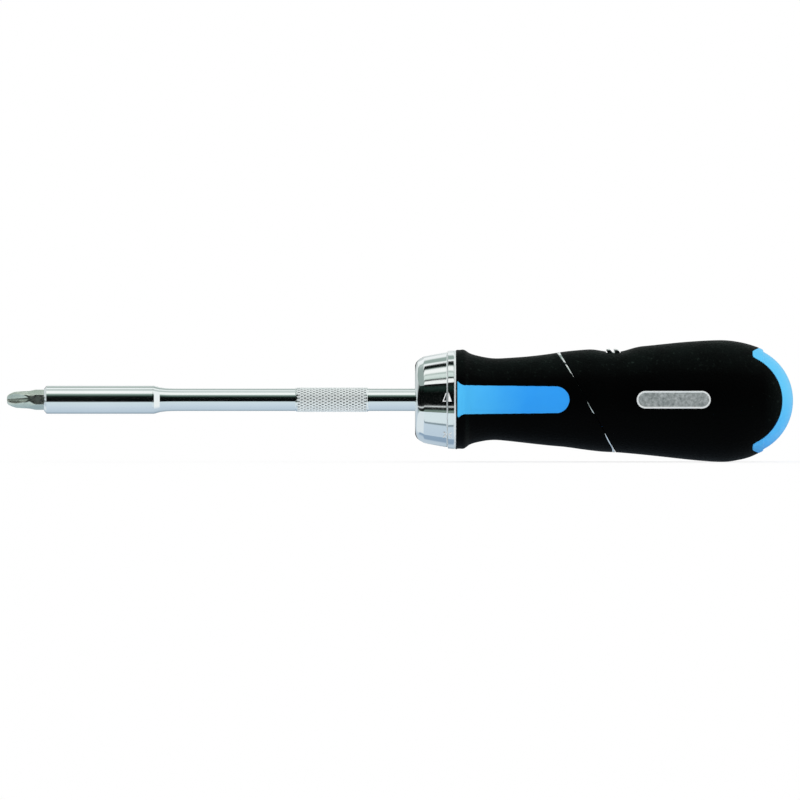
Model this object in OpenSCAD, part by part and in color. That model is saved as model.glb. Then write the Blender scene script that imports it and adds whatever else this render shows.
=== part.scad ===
/* [Bit] */
// Length of one screw bit
bit_len = 25; // [24:0.5:28]
// Length of the bit that stands out of its holder
bit_reach = 13.6; // [12:0.2:15]
// Width across flats of the hexagon drive
hex_af = 6.35; // [6:0.05:6.5]
// Radius of the turned point behind the tip
point_r = 3.2; // [2.8:0.1:3.2]
// Length of the turned point
point_len = 8; // [7:0.5:9]
// Radius of the blunt end of the tip
tip_r = 0.9; // [0.7:0.1:1.1]
// Length over which the tip widens to the turned point
cone_len = 3.2; // [2.6:0.2:4.4]
// Distance from the axis to the root of a tip groove, at the end
flute_root = 0.7; // [0.5:0.1:1]
// Slope of a tip groove away from the axis
flute_slope_angle = 15; // [12:1:20]

/* [Holder and shaft] */
// Radius of the bit holder
holder_r = 5; // [4.8:0.1:5.6]
// Length of the straight part of the bit holder
holder_len = 39.3; // [32:0.5:46]
// Length of the shaft that shows behind the holder
shaft_show = 93.2; // [80:1:120]
// Radius of the drive shaft
shaft_r = 4; // [3.6:0.1:4.2]
// Length of the knurled band
knurl_len = 26; // [18:1:34]
// Distance from the knurled band to the selector ring
knurl_back = 16.7; // [12:0.5:24]
// How far the knurled band stands proud of the shaft
knurl_proud = 0.15; // [0.1:0.05:0.3]

/* [Selector ring] */
// Thickness of the selector ring at its back
ring_shell = 3.7; // [3.5:0.1:4.2]
// Height of the ring's rounded shoulder
ring_shoulder = 5; // [4:0.2:6]
// Length of the selector ring
ring_len = 11.6; // [11.2:0.1:13]
// Number of finger flats round the ring
flat_count = 10; // [8:2:12]
// Turn of the ring each way from its middle setting
select_angle = 18; // [12:1:20]
// Step from the ring up to the fixed collar behind it
collar_step = 0.4; // [0.2:0.1:0.8]
// Length of the fixed collar behind the ring
collar_len = 3.9; // [3.7:0.1:5]

/* [Ratchet] */
// Number of teeth on the ratchet gear
gear_teeth = 24; // [24:12:36]
// Radius over the gear's teeth
gear_r = 7.2; // [7:0.1:7.4]
// Depth of a gear tooth
tooth_h = 0.9; // [0.7:0.1:1]
// Room for the pawls from the gear to the rim of the housing's nose
pawl_room = 6.1; // [5.9:0.1:6.4]
// Angle that a pawl lifts through
pawl_lift_angle = 12; // [8:1:12]
// Distance from a pawl's pin to the rim of the housing's nose
pawl_pin_in = 2.4; // [2.3:0.1:2.6]
// Radius of a pawl's pin
pawl_pin_r = 0.9; // [0.7:0.1:1]
// Radius of the housing's barrel inside the grip
barrel_r = 10.5; // [9.5:0.25:11]
// Length of the housing's barrel
barrel_len = 14; // [12:1:20]

/* [Handle] */
// Half the greatest height of the handle
belly_r = 21.8; // [21.4:0.2:24]
// Thickness of the rubber grip
rubber = 2.1; // [1.6:0.1:2.4]
// Distance from the end of the inlay's window to the seam
window_back = 6.5; // [6:0.5:12]
// Half the height of the window at its rounded end
window_half = 4.9; // [4:0.1:6]
// Depth of the thumb scoop round the button
scoop_depth = 1.1; // [0.6:0.1:1.4]

/* [Swivel] */
// Distance from the collar to the middle of the oblique seam
seam_at = 45.9; // [44:0.5:50]
// Lean of the seam away from square
seam_angle = 29; // [27:1:30]
// Thickness of the bright plate at the seam
plate_t = 0.9; // [0.7:0.1:1.4]
// Radius of the pivot bolt
pivot_r = 2.5; // [2:0.1:2.8]
// Radius of the index disc
disc_r = 4.7; // [4.4:0.1:5]

/* [Lock] */
// Length of the handle from the seam to the chamber of the magazine
lock_len = 28.8; // [27:0.2:36]
// Distance from the seam to the middle of the button
button_at = 17; // [16.4:0.2:18]
// Length of the button along the handle
button_len = 3.8; // [3.6:0.2:5]
// Width of the button across the handle
button_w = 8; // [6:0.5:10]
// Height of the button's top above the drive axis
button_top = 18.1; // [17.8:0.1:18.8]
// Travel of the button
button_travel = 1.6; // [1:0.1:1.8]

/* [Magazine] */
// Radius of the bit magazine's chamber
chamber_r = 11.3; // [11.2:0.1:11.6]
// Room in the chamber beyond the length of a bit
chamber_room = 3.7; // [3:0.1:6]
// Number of spare bits
spare_count = 6; // [4:1:6]
// Radius of the rounded end cap
cap_r = 19.6; // [19.2:0.1:20]
// Radius of the rounded seat that the cap closes on
seat_r = 16.6; // [16:0.1:17.4]
// Thickness of the cap at its middle
cap_t = 3.9; // [3.4:0.1:5]
// Distance from the front of the cap's spigot to the end of the handle
spigot_reach = 15.8; // [15:0.2:18]

/* [Badge] */
// Length of the blank badge
badge_len = 26.7; // [20:0.5:30]
// Height of the blank badge
badge_h = 6.5; // [5:0.5:9]
// Distance from the collar to the middle of the badge
badge_at = 76.6; // [72:0.5:80]

/* [Fits] */
// Radial clearance of a turning fit
run_gap = 0.05; // [0.03:0.01:0.08]
// Clearance between pieces that pass each other
pass_gap = 0.25; // [0.2:0.05:0.35]

/* [Hidden] */
$fn = 64;
overrun = 1;

// Radii of the ratchet, from the gear out
nose_r = gear_r + pawl_room;
ring_r = nose_r + ring_shell;
ring_face_r = ring_r - ring_shoulder;
collar_r = ring_r + collar_step;

// Stations along the drive axis, from the tip of the bit
holder_x = bit_reach;
holder_end = holder_x + holder_len;
ring_x = holder_end + shaft_show;
ring_end = ring_x + ring_len;
collar_x = ring_end + pass_gap;
grip_x = collar_x + collar_len;
seam_x = grip_x + seam_at;
chamber_x = seam_x + lock_len;
spigot_x = chamber_x + chamber_room + bit_len;
handle_end = spigot_x + spigot_reach;
handle_len = handle_end - grip_x;
window_len = seam_at - window_back;

// Bit
hex_r = hex_af / 2 / cos(30);
tip_shoulder_r_share = 0.62;
tip_shoulder_len_share = 0.2;
neck_len_share = 0.6;
bit_chamfer = 0.6;
flute_half_angle = 46;

// Holder: the socket takes what the bit doesn't show
socket_gap = 0.06;
socket_r = (hex_af / 2 + socket_gap) / cos(30);
socket_depth = bit_len - bit_reach;
holder_lip = 0.2;
holder_face_r = socket_r + holder_lip;
holder_chamfer = 0.9;
holder_taper = 3.5;
magnet_r = 2.9;
magnet_len = 4;
clip_w = 0.9;
clip_wire = 0.45;
clip_at = 4.2;
tang_r = 3;
tang_wall = 5.4;
tang_len = holder_len + holder_taper - socket_depth - magnet_len - tang_wall;
knurl_x = ring_x - knurl_back - knurl_len;
knurl_bevel = 0.4;

// Stations of the ratchet, behind the ring's front wall
ring_wall = 1.7;
ring_step_count = 9;
flat_land = 0.12;
flat_from_share = 0.08;
flat_full_share = 0.27;
flat_step_count = 4;
flat_turn_share = 0.467;
collar_lip = 1.3;
land_angle = 360 / flat_count * (flat_turn_share + 1 / 2);
cover_t = 1.2;
thrust_t = 0.5;
cover_x = ring_x + ring_wall + pass_gap;
nose_x = cover_x + cover_t;
gear_x = nose_x + thrust_t + run_gap;
web_t = 0.6;
web_x = collar_x - web_t;
gear_len = web_x - run_gap - gear_x;
pocket_floor = 1.4;
pawl_len = web_x - pocket_floor - 2 * pass_gap - nose_x;
pawl_x = nose_x + pass_gap;
cavity_r = gear_r + pass_gap;
ring_bore_r = nose_r + 2 * run_gap;
bush_wall = 1.5;
bush_r = shaft_r + bush_wall;
thrust_r = gear_r - tooth_h;
circlip_t = 0.9;
circlip_play = 0.6;
rear_bush_len = barrel_len - circlip_play - 3 * circlip_t;
shaft_end = grip_x + rear_bush_len + circlip_play + 2 * circlip_t;
circlip_w = 1.5;
circlip_groove = 0.6;

// Gear teeth and pawls, as angles and shares of one tooth's pitch_angle
pitch_angle = 360 / gear_teeth;
tooth_root_share = 0.33;
tooth_tip_share = 0.1;
gear_root_r = gear_r - tooth_h;
pawl_angle = 90 + pitch_angle / 2;
pawl_pin_angle = 58;
pawl_tooth_tip = 0.15;
pawl_tooth_share = 0.4;
pawl_pin_at = nose_r - pawl_pin_in;
pawl_clear = 0.15;
pawl_body_in = gear_r + pawl_clear;
pawl_depth = 2.4;
pawl_body_out = gear_r + pawl_depth;
pawl_boss_wall = 1;
pawl_boss_r = pawl_pin_r + pawl_boss_wall;
pawl_from_angle = 78;
pawl_to_angle = 104;
tail_sink = 0.2;
tail_at = nose_r - tail_sink;
tail_r = 0.7;
tail_angle = 50;
cam_pocket_depth = 0.9;
cam_pocket_r = nose_r + cam_pocket_depth;
cam_angle = 6;
pocket_wall = 1.1;
pocket_r = nose_r - pocket_wall;
pocket_to_angle = 135;
slot_play_angle = 2;
slot_from_angle = tail_angle - pawl_lift_angle / 2 - slot_play_angle;
slot_to_angle = 71;
leaf_t = 0.3;
leaf_from_angle = pawl_to_angle - 6;
leaf_mid_angle = 116;
leaf_to_angle = 132;
leaf_out = pocket_r - leaf_t;
leaf_w_share = 0.7;
leaf_w = pawl_len * leaf_w_share;

// Screws of the ratchet cover, between the pawls
cover_screw_r = 0.9;
cover_screw_head_r = 1.7;
cover_screw_head_t = 0.7;
cover_screw_len = 5;
cover_screw_in = 2.9;
cover_screw_at = nose_r - cover_screw_in;
cover_screw_angles = [0, 155, 205];
driver_slot = 0.4;

// Snap ring that keeps the selector ring on the nose
snap_t = 0.6;
snap_depth = 0.45;
snap_x = web_x - snap_t;

// Detent of the selector ring
detent_ball_r = 0.9;
detent_wall = 0.7;
detent_at = nose_r + detent_ball_r + detent_wall;
dimple_depth = 0.35;
detent_angle = 180;
detent_proud = 0.1;
detent_floor = 0.5;
detent_hole = collar_len - detent_floor;
detent_wire = 0.16;
detent_turn_count = 4;

// Outline of the handle. Each row: share of its length, then top, bottom and
// depth as shares of belly_r and, for depth, of half the height there.
profile_shares = [
    [0.000, 0.818, 0.803, 1.00], [0.014, 0.820, 0.800, 1.00],
    [0.031, 0.765, 0.737, 1.00], [0.049, 0.731, 0.703, 1.00],
    [0.085, 0.690, 0.666, 0.99], [0.112, 0.678, 0.660, 0.98],
    [0.157, 0.690, 0.682, 0.97], [0.211, 0.713, 0.716, 0.96],
    [0.265, 0.748, 0.748, 0.95], [0.319, 0.792, 0.775, 0.94],
    [0.373, 0.820, 0.816, 0.93], [0.427, 0.836, 0.850, 0.92],
    [0.481, 0.846, 0.866, 0.91], [0.553, 0.880, 0.902, 0.90],
    [0.607, 0.910, 0.933, 0.89], [0.661, 0.940, 0.966, 0.88],
    [0.715, 0.962, 0.996, 0.88], [0.769, 0.976, 1.016, 0.88],
    [0.805, 0.972, 1.014, 0.88], [0.841, 0.944, 0.982, 0.90],
    [0.870, 0.905, 0.940, 0.92], [0.894, 0.862, 0.882, 0.94]];
dome_from_share = 0.894;
side_count = 32;
front_ring_count = 15;
rear_ring_count = 22;
plate_ring_count = 12;
cap_ring_count = 12;
skin_gap = 0.15;

// Ends of the handle: the body's dome is a little wider than the cap's, so
// that a lip of the cap lies flush with the body before the step down
cap_mid = handle_end - cap_r;
cap_drop = 0.3;
seat_mid = handle_end - cap_t - seat_r;
body_dome_grow = 1.3;
body_dome_r = cap_r + body_dome_grow;
body_dome_mid = handle_end - body_dome_r;
cap_lip_reach = 10.8;
cap_lip_end = handle_end - cap_lip_reach;
cap_tip_reach = 14.6;
cap_tip_x = handle_end - cap_tip_reach;
dome_tip = 0.02;

// Thumb scoop, centred on the button
scoop_mid_share = 0.452;
scoop_half_share = 0.07;
scoop_angle = 55;

// Seam frame: origin on the seam, its own Z axis square to the seam
seam_drop = 1.1;
seam_reach = belly_r * sin(seam_angle) + 2 * plate_t;
far = 2 * belly_r + overrun;

// Pivot stack, as distances behind the seam
run_plate = 0.15;
wear_t = 1;
wear_r = 11;
wall_t = 5;
wave_t = 0.8;
disc_hub_t = 0.8;
disc_t = 2;
nut_t = 2.5;
nut_r = 3.6;
bolt_head_r = 4.5;
bolt_head_t = 3;
bolt_grip = 7;
wear_z = run_plate;
wall_z = wear_z + wear_t + run_gap;
wave_z = wall_z + wall_t + 2 * run_gap;
hub_z = wave_z + wave_t + 2 * run_gap;
disc_z = hub_z + disc_hub_t;
nut_z = disc_z + disc_t;
bolt_z = -plate_t - bolt_grip;
bolt_end = nut_z + nut_t;
pivot_bush_wall = 1.4;
pivot_bush_r = pivot_r + pivot_bush_wall;
disc_rim = 0.5;
hub_r = disc_r - disc_rim;
notch_w = 2.8;
notch_depth = 1.5;

// Lock plate: a frame round the disc and an arm back to the button
lock_clear = 0.3;
lock_rim = 1.6;
lock_side = disc_r + lock_clear;
lock_top = disc_r + button_travel + lock_clear;
lock_tooth = 1.5;
lock_tooth_w = 2.2;
lock_low = disc_r + lock_clear + lock_tooth;
arm_t = 1;
arm_w = 6;
button_x = seam_x + button_at * cos(seam_angle)
    - (button_top + seam_drop - button_at * sin(seam_angle)) * tan(seam_angle);
rib_w = 0.5;
rib_depth = 0.35;
lock_spring_r = 1.3;
lock_spring_wire = 0.3;
lock_spring_len = 4.6;
lock_spring_turn_count = 4;
coil_step_count = 10;
coil_side_count = 6;

// Magazine
rack_r = chamber_r - pass_gap;
rack_play = 1.5;
rack_x = chamber_x + rack_play;
rack_disc_t = 6;
rack_hub_r = 3.8;
spare_ring_r = 7.6;
spare_gap = 0.08;
spare_hole_r = hex_r + spare_gap;
spare_slot_w = 5.4;
spare_x = spigot_x - bit_len;
rack_screw_r = 1.5;
rack_screw_head_r = 2.75;
rack_screw_head_t = 1.8;
rack_screw_bite = 5;
o_ring_wire = 0.9;
o_ring_back = 2;
o_ring_x = spigot_x + o_ring_back;

// Badge: flat, leaning with the side of the handle
badge_t = 1.2;
badge_proud = 0.35;
badge_rim = 0.5;
badge_sink = 0.3;
badge_x = grip_x + badge_at;

// Window for the inlays, widening to the collar
window_flare = 1.4;
window_flare_len = 3;
window_open_share = 1.13;
inlay_low = 0.15;
inlay_gap = 0.02;
arc_step_count = 12;

// Turns a shape drawn along its own Z axis onto the drive axis, at x
module along_x(x) {
    translate([x, 0, 0]) rotate([0, 90, 0]) children();
}

// Extrudes a flat shape drawn in Y and Z along the drive axis
module cross(x, len) {
    translate([x, 0, 0]) rotate([90, 0, 90]) linear_extrude(len) children();
}

// Extrudes a flat shape drawn in X and Z along Y, both ways from the middle
module sideways(half) {
    rotate([90, 0, 0]) translate([0, 0, -half]) linear_extrude(2 * half) children();
}

// Frame of the swivel: Z runs back along the pivot, X runs down the seam
module at_seam() {
    translate([seam_x, 0, -seam_drop]) rotate([0, 90 - seam_angle, 0]) children();
}

module tube(r, bore, len) {
    difference() {
        cylinder(r = r, h = len);
        translate([0, 0, -overrun]) cylinder(r = bore, h = len + 2 * overrun);
    }
}

module box_at(x1, x2, half_w, z1, z2) {
    translate([x1, -half_w, z1]) cube([x2 - x1, 2 * half_w, z2 - z1]);
}

function polar(r, a) = [r * cos(a), r * sin(a)];

// Smooth curve through one column of the outline, by Hermite steps
function row_at(s, i = 0) =
    (i >= len(profile_shares) - 2 || s < profile_shares[i + 1][0]) ? i : row_at(s, i + 1);
function slope_at(i, c) = let (
    a = max(i - 1, 0),
    b = min(i + 1, len(profile_shares) - 1)
) (profile_shares[b][c] - profile_shares[a][c]) / (profile_shares[b][0] - profile_shares[a][0]);
function share_at(s, c) = let (
    i = row_at(s),
    w = profile_shares[i + 1][0] - profile_shares[i][0],
    t = (s - profile_shares[i][0]) / w
) (2 * t * t * t - 3 * t * t + 1) * profile_shares[i][c]
    + (t * t * t - 2 * t * t + t) * w * slope_at(i, c)
    + (3 * t * t - 2 * t * t * t) * profile_shares[i + 1][c]
    + (t * t * t - t * t) * w * slope_at(i + 1, c);

// Half height and middle of the handle at x; the dome takes over at the end
function share_x(x) = min(max((x - grip_x) / handle_len, 0), dome_from_share);
function dome_at(x, r, mid) = sqrt(max(r * r - (x - mid) * (x - mid), dome_tip));
function half_h(x) = let (
    s = share_x(x),
    h = belly_r * (share_at(s, 1) + share_at(s, 2)) / 2,
    from = grip_x + dome_from_share * handle_len
) x <= from ? h : h * dome_at(x, body_dome_r, body_dome_mid) / dome_at(from, body_dome_r, body_dome_mid);
function mid_z(x) = let (s = share_x(x)) belly_r * (share_at(s, 1) - share_at(s, 2)) / 2;
function depth_at(x) = share_at(share_x(x), 3);

function bump(u) = abs(u) >= 1 ? 0 : pow(cos(90 * u), 2);
function scoop(x, a) = scoop_depth * bump(((x - grip_x) / handle_len - scoop_mid_share) / scoop_half_share)
    * bump((a - 90) / scoop_angle);

// One ring of the handle's surface, drawn in by inset
function ring_at(x, inset) = [for (k = [0:side_count - 1]) let (
    a = 360 * k / side_count,
    h = half_h(x) - inset - scoop(x, a),
    w = half_h(x) * depth_at(x) - inset
) [x, w * cos(a), mid_z(x) + h * sin(a)]];

// One ring of the cap's dome, a little lower than the body's
function cap_ring_at(x) = [for (k = [0:side_count - 1]) let (
    a = 360 * k / side_count,
    h = dome_at(x, cap_r, cap_mid)
) [x, h * depth_at(x) * cos(a), -cap_drop + h * sin(a)]];

function stations(a, b, n) = [for (i = [0:n]) a + (b - a) * i / n];
function stations_to_end(a, b, n) = [for (i = [0:n]) a + (b - a) * sin(90 * i / n)];

// Faces between rings of equal count; a closed loft joins its last ring to its first
function band(i, j, n) = [for (k = [0:n - 1]) let (l = (k + 1) % n)
    each [[i * n + k, j * n + k, j * n + l], [i * n + k, j * n + l, i * n + l]]];
function turned(face) = [for (i = [len(face) - 1:-1:0]) face[i]];

module loft(rings) {
    n = len(rings[0]);
    last = len(rings) - 1;
    polyhedron(
        points = [for (r = rings) each r],
        faces = concat(
            [for (i = [0:last - 1]) each band(i + 1, i, n)],
            [[for (k = [0:n - 1]) k]],
            [turned([for (k = [0:n - 1]) last * n + k])]));
}

module loft_shell(outer, inner) {
    n = len(outer[0]);
    all = concat(outer, turned(inner));
    count = len(all);
    polyhedron(
        points = [for (r = all) each r],
        faces = [for (i = [0:count - 1]) each band((i + 1) % count, i, n)]);
}

// Coil of round wire along Z, as one open sweep
module coil(r, wire, turns, len) {
    steps = turns * coil_step_count;
    climb = (len - 2 * wire) / steps;
    loft([for (i = [0:steps]) let (a = 360 * i / coil_step_count) [for (k = [0:coil_side_count - 1])
        let (b = -360 * k / coil_side_count, d = r + wire * cos(b))
        [d * cos(a), d * sin(a), wire + climb * i + wire * sin(b)]]]);
}

// Everything in front of, or behind, a plane square to the pivot
module ahead_of(z) {
    at_seam() translate([-far, -far, z - 2 * far]) cube([2 * far, 2 * far, 2 * far]);
}

module behind(z) {
    at_seam() translate([-far, -far, z]) cube([2 * far, 2 * far, 2 * far]);
}

// Bit
module bit_blank() {
    rotate_extrude() polygon([
        [0, 0], [tip_r, 0],
        [point_r * tip_shoulder_r_share, cone_len * tip_shoulder_len_share],
        [point_r, cone_len], [point_r, point_len],
        [hex_r, point_len + (bit_reach - point_len) * neck_len_share],
        [hex_r, bit_len - bit_chamfer], [hex_r - bit_chamfer, bit_len], [0, bit_len]]);
}

module flute() {
    translate([flute_root, 0, 0]) rotate([0, flute_slope_angle, 0])
        linear_extrude(2 * point_len, center = true)
            polygon([[0, 0], far * polar(1, flute_half_angle), far * polar(1, -flute_half_angle)]);
}

module bit_shape() {
    difference() {
        intersection() {
            bit_blank();
            union() {
                cylinder(r = point_r, h = point_len);
                cylinder(r = hex_r, h = bit_len, $fn = 6);
            }
        }
        for (a = [45:90:315]) rotate([0, 0, a]) flute();
    }
}

module screw_bit() {
    color("slategray") along_x(0) bit_shape();
}

// Holder
module bit_holder() {
    color("silver") along_x(holder_x) difference() {
        rotate_extrude() polygon([
            [0, 0], [holder_face_r, 0], [holder_r, holder_chamfer], [holder_r, holder_len],
            [shaft_r, holder_len + holder_taper], [0, holder_len + holder_taper]]);
        translate([0, 0, -overrun]) cylinder(r = socket_r, h = socket_depth + overrun, $fn = 6);
        translate([0, 0, clip_at]) cylinder(r = socket_r + clip_wire, h = clip_w);
        cylinder(r = magnet_r, h = socket_depth + magnet_len);
        translate([0, 0, holder_len + holder_taper - tang_len])
            cylinder(r = tang_r, h = tang_len + overrun);
    }
}

module bit_magnet() {
    color("dimgray") along_x(holder_x + socket_depth) cylinder(r = magnet_r, h = magnet_len);
}

// Open spring ring in the socket's groove, clear of the bit
module bit_clip() {
    color("gray") along_x(holder_x + clip_at) difference() {
        tube(socket_r + clip_wire, socket_r, clip_w);
        box_at(0, holder_r, clip_w, -overrun, clip_w + overrun);
    }
}

// Shaft
module drive_shaft() {
    color("silver") union() {
        along_x(holder_end + holder_taper - tang_len) cylinder(r = tang_r, h = tang_len);
        along_x(holder_end + holder_taper) difference() {
            cylinder(r = shaft_r, h = shaft_end - holder_end - holder_taper);
            translate([0, 0, shaft_end - 2 * circlip_t - holder_end - holder_taper])
                tube(shaft_r + overrun, shaft_r - circlip_groove, circlip_t);
        }
        along_x(knurl_x) rotate_extrude() polygon([
            [0, 0], [shaft_r, 0], [shaft_r + knurl_proud, knurl_bevel],
            [shaft_r + knurl_proud, knurl_len - knurl_bevel], [shaft_r, knurl_len], [0, knurl_len]]);
    }
}

module gear_outline() {
    difference() {
        polygon([for (i = [0:gear_teeth - 1]) let (
            a = i * pitch_angle,
            root = tooth_root_share * pitch_angle,
            tip = tooth_tip_share * pitch_angle
        ) each [polar(gear_root_r, a - root), polar(gear_r, a - tip),
            polar(gear_r, a + tip), polar(gear_root_r, a + root)]]);
        circle(r = shaft_r);
    }
}

module ratchet_gear() {
    color("darkgray") cross(gear_x, gear_len) gear_outline();
}

module shaft_circlip() {
    color("dimgray") along_x(shaft_end - 2 * circlip_t) difference() {
        tube(shaft_r - circlip_groove + circlip_w, shaft_r - circlip_groove, circlip_t);
        box_at(0, barrel_r, circlip_w, -overrun, circlip_t + overrun);
    }
}

module front_bush() {
    color("peru") along_x(cover_x) difference() {
        union() {
            cylinder(r = bush_r, h = cover_t + thrust_t);
            translate([0, 0, cover_t]) cylinder(r = thrust_r, h = thrust_t);
        }
        translate([0, 0, -overrun]) cylinder(r = shaft_r + run_gap, h = cover_t + thrust_t + 2 * overrun);
    }
}

module rear_bush() {
    color("peru") along_x(web_x) tube(bush_r, shaft_r + run_gap, grip_x + rear_bush_len - web_x);
}

// Pawls, drawn in Y and Z with the gear's centre at zero
module pawl_outline() {
    tip = gear_root_r + pawl_tooth_tip;
    half = pawl_tooth_share * pitch_angle;
    difference() {
        union() {
            hull() {
                translate(polar(pawl_pin_at, pawl_pin_angle)) circle(r = pawl_boss_r);
                for (a = [pawl_from_angle, pawl_to_angle])
                    for (r = [pawl_body_in + tail_r, pawl_body_out - tail_r])
                        translate(polar(r, a)) circle(r = tail_r, $fn = 24);
            }
            hull() {
                translate(polar(pawl_pin_at, pawl_pin_angle)) circle(r = pawl_boss_r);
                translate(polar(tail_at, tail_angle)) circle(r = tail_r, $fn = 24);
            }
        }
        circle(r = pawl_body_in);
    }
    for (a = [pawl_angle - pitch_angle, pawl_angle]) rotate(a) polygon([
        [tip, -pawl_tooth_tip], [pawl_body_in + tail_r, -pawl_body_in * sin(half / 2)],
        [pawl_body_in + tail_r, pawl_body_in * sin(half / 2)], [tip, pawl_tooth_tip]]);
}

module pawl_shape() {
    cross(pawl_x, pawl_len) difference() {
        pawl_outline();
        translate(polar(pawl_pin_at, pawl_pin_angle)) circle(r = pawl_pin_r + run_gap);
    }
}

module pawl_forward() {
    color("darkgray") pawl_shape();
}

module pawl_reverse() {
    color("darkgray") mirror([0, 0, 1]) pawl_shape();
}

module pawl_pin() {
    cross(nose_x, web_x - nose_x) translate(polar(pawl_pin_at, pawl_pin_angle)) circle(r = pawl_pin_r);
}

module pawl_pins() {
    color("silver") union() {
        pawl_pin();
        mirror([0, 0, 1]) pawl_pin();
    }
}

module leaf_outline(half) {
    points = [polar(pawl_body_out + leaf_t, leaf_from_angle), polar(leaf_out, leaf_mid_angle),
        polar(leaf_out, leaf_to_angle)];
    for (i = [0, 1]) hull() for (p = [points[i], points[i + 1]]) translate(p) circle(r = half, $fn = 16);
}

module pawl_spring() {
    cross(pawl_x + (pawl_len - leaf_w) / 2, leaf_w) leaf_outline(leaf_t / 2);
}

module pawl_spring_forward() {
    color("gray") pawl_spring();
}

module pawl_spring_reverse() {
    color("gray") mirror([0, 0, 1]) pawl_spring();
}

// Housing: nose with pawl pockets, collar and barrel
module sector(r, from, to) {
    turn = (to - from) / arc_step_count;
    polygon(concat([[0, 0]], [for (i = [0:arc_step_count]) polar(r, from + turn * i)]));
}

module pawl_pocket() {
    sector(pocket_r, slot_to_angle - overrun, pocket_to_angle);
    sector(nose_r + overrun, slot_from_angle, slot_to_angle);
}

module at_flats() {
    for (i = [0:flat_count - 1]) rotate([360 / flat_count * (i + flat_turn_share), 0, 0]) children();
}

// Distance from the axis to a flat that leaves lands on a round of that radius
function flat_at(r) = (r + flat_land) * cos(180 / flat_count);

module cover_screw_places() {
    for (a = cover_screw_angles) rotate([a, 0, 0]) translate([0, cover_screw_at, 0]) children();
}

module detent_hole_shape() {
    rotate([detent_angle, 0, 0]) translate([0, detent_at, 0])
        along_x(collar_x - overrun) cylinder(r = detent_ball_r + run_gap, h = detent_hole + overrun);
}

module ratchet_housing() {
    color("silver") difference() {
        union() {
            along_x(nose_x) cylinder(r = nose_r, h = collar_x - nose_x);
            along_x(collar_x) cylinder(r = collar_r, h = collar_len);
            along_x(grip_x) cylinder(r = barrel_r, h = barrel_len);
        }
        along_x(nose_x - overrun) cylinder(r = cavity_r, h = web_x - nose_x + overrun);
        cross(nose_x - overrun, web_x - pocket_floor - nose_x + overrun) pawl_pocket();
        mirror([0, 0, 1]) cross(nose_x - overrun, web_x - pocket_floor - nose_x + overrun) pawl_pocket();
        pawl_pin();
        mirror([0, 0, 1]) pawl_pin();
        along_x(web_x - overrun) cylinder(r = bush_r, h = grip_x + barrel_len - web_x + 2 * overrun);
        along_x(snap_x) tube(nose_r + overrun, nose_r - snap_depth, snap_t);
        cover_screw_places() along_x(nose_x - overrun)
            cylinder(r = cover_screw_r, h = cover_screw_len + overrun);
        detent_hole_shape();
        at_flats() box_at(collar_x - overrun, grip_x - collar_lip, ring_r, flat_at(collar_r), 2 * ring_r);
    }
}

module ratchet_cover() {
    color("silver") difference() {
        along_x(cover_x) tube(nose_r, bush_r, cover_t);
        cover_screw_places() {
            along_x(cover_x - overrun) cylinder(r = cover_screw_r, h = cover_t + 2 * overrun);
            along_x(cover_x - overrun) cylinder(r = cover_screw_head_r, h = cover_screw_head_t + overrun);
        }
    }
}

module cover_screws() {
    color("dimgray") cover_screw_places() difference() {
        union() {
            along_x(cover_x) cylinder(r = cover_screw_r, h = cover_t + cover_screw_len);
            along_x(cover_x) cylinder(r = cover_screw_head_r, h = cover_screw_head_t);
        }
        translate([cover_x, 0, 0]) cube([driver_slot, 4 * cover_screw_head_r, driver_slot], center = true);
    }
}

// Selector ring: its outside is a quarter ellipse, with flats that follow it
function ring_curve(t) = ring_face_r + (ring_r - ring_face_r) * sin(acos(1 - t));

module ring_blank() {
    rotate_extrude() polygon(concat(
        [[0, 0]],
        [for (i = [0:ring_step_count]) let (t = 1 - cos(90 * i / ring_step_count))
            [ring_curve(t), ring_len * t]],
        [[0, ring_len]]));
}

module ring_flat() {
    flat_share = (1 - flat_full_share) / flat_step_count;
    front = ring_curve(flat_from_share);
    back = flat_at(ring_r);
    translate([ring_x, 0, 0]) sideways(ring_r) polygon(concat(
        [[-overrun, 2 * ring_r], [-overrun, front], [ring_len * flat_from_share, front]],
        [for (i = [0:flat_step_count]) let (t = flat_full_share + flat_share * i)
            [ring_len * t, flat_at(ring_curve(t))]],
        [[ring_len + overrun, back], [ring_len + overrun, 2 * ring_r]]));
}

module cam_pocket() {
    half = select_angle + cam_angle + asin(tail_r / tail_at);
    sector(cam_pocket_r, tail_angle - half, tail_angle + half);
}

module selector_ring() {
    color("silver") difference() {
        rotate([land_angle, 0, 0]) along_x(ring_x) ring_blank();
        along_x(ring_x - overrun) cylinder(r = shaft_r + 2 * pass_gap, h = ring_wall + 2 * overrun);
        along_x(ring_x + ring_wall) cylinder(r = ring_bore_r, h = ring_len);
        cross(nose_x, snap_x - pass_gap - nose_x) cam_pocket();
        mirror([0, 0, 1]) cross(nose_x, snap_x - pass_gap - nose_x) cam_pocket();
        along_x(snap_x - run_gap) cylinder(r = ring_bore_r + snap_depth, h = snap_t + 2 * run_gap);
        at_flats() ring_flat();
        for (a = [-select_angle, 0, select_angle]) rotate([detent_angle + a, 0, 0])
            translate([ring_end + detent_ball_r - dimple_depth, detent_at, 0]) sphere(r = detent_ball_r);
    }
}

module selector_snap_ring() {
    color("gray") difference() {
        along_x(snap_x) tube(ring_bore_r + snap_depth - run_gap, nose_r - snap_depth, snap_t);
        rotate([detent_angle, 0, 0]) translate([snap_x - overrun, 0, -snap_t])
            cube([snap_t + 2 * overrun, ring_r, 2 * snap_t]);
    }
}

module detent_ball() {
    color("silver") rotate([detent_angle, 0, 0])
        translate([collar_x + detent_ball_r - detent_proud, detent_at, 0]) sphere(r = detent_ball_r);
}

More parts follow.
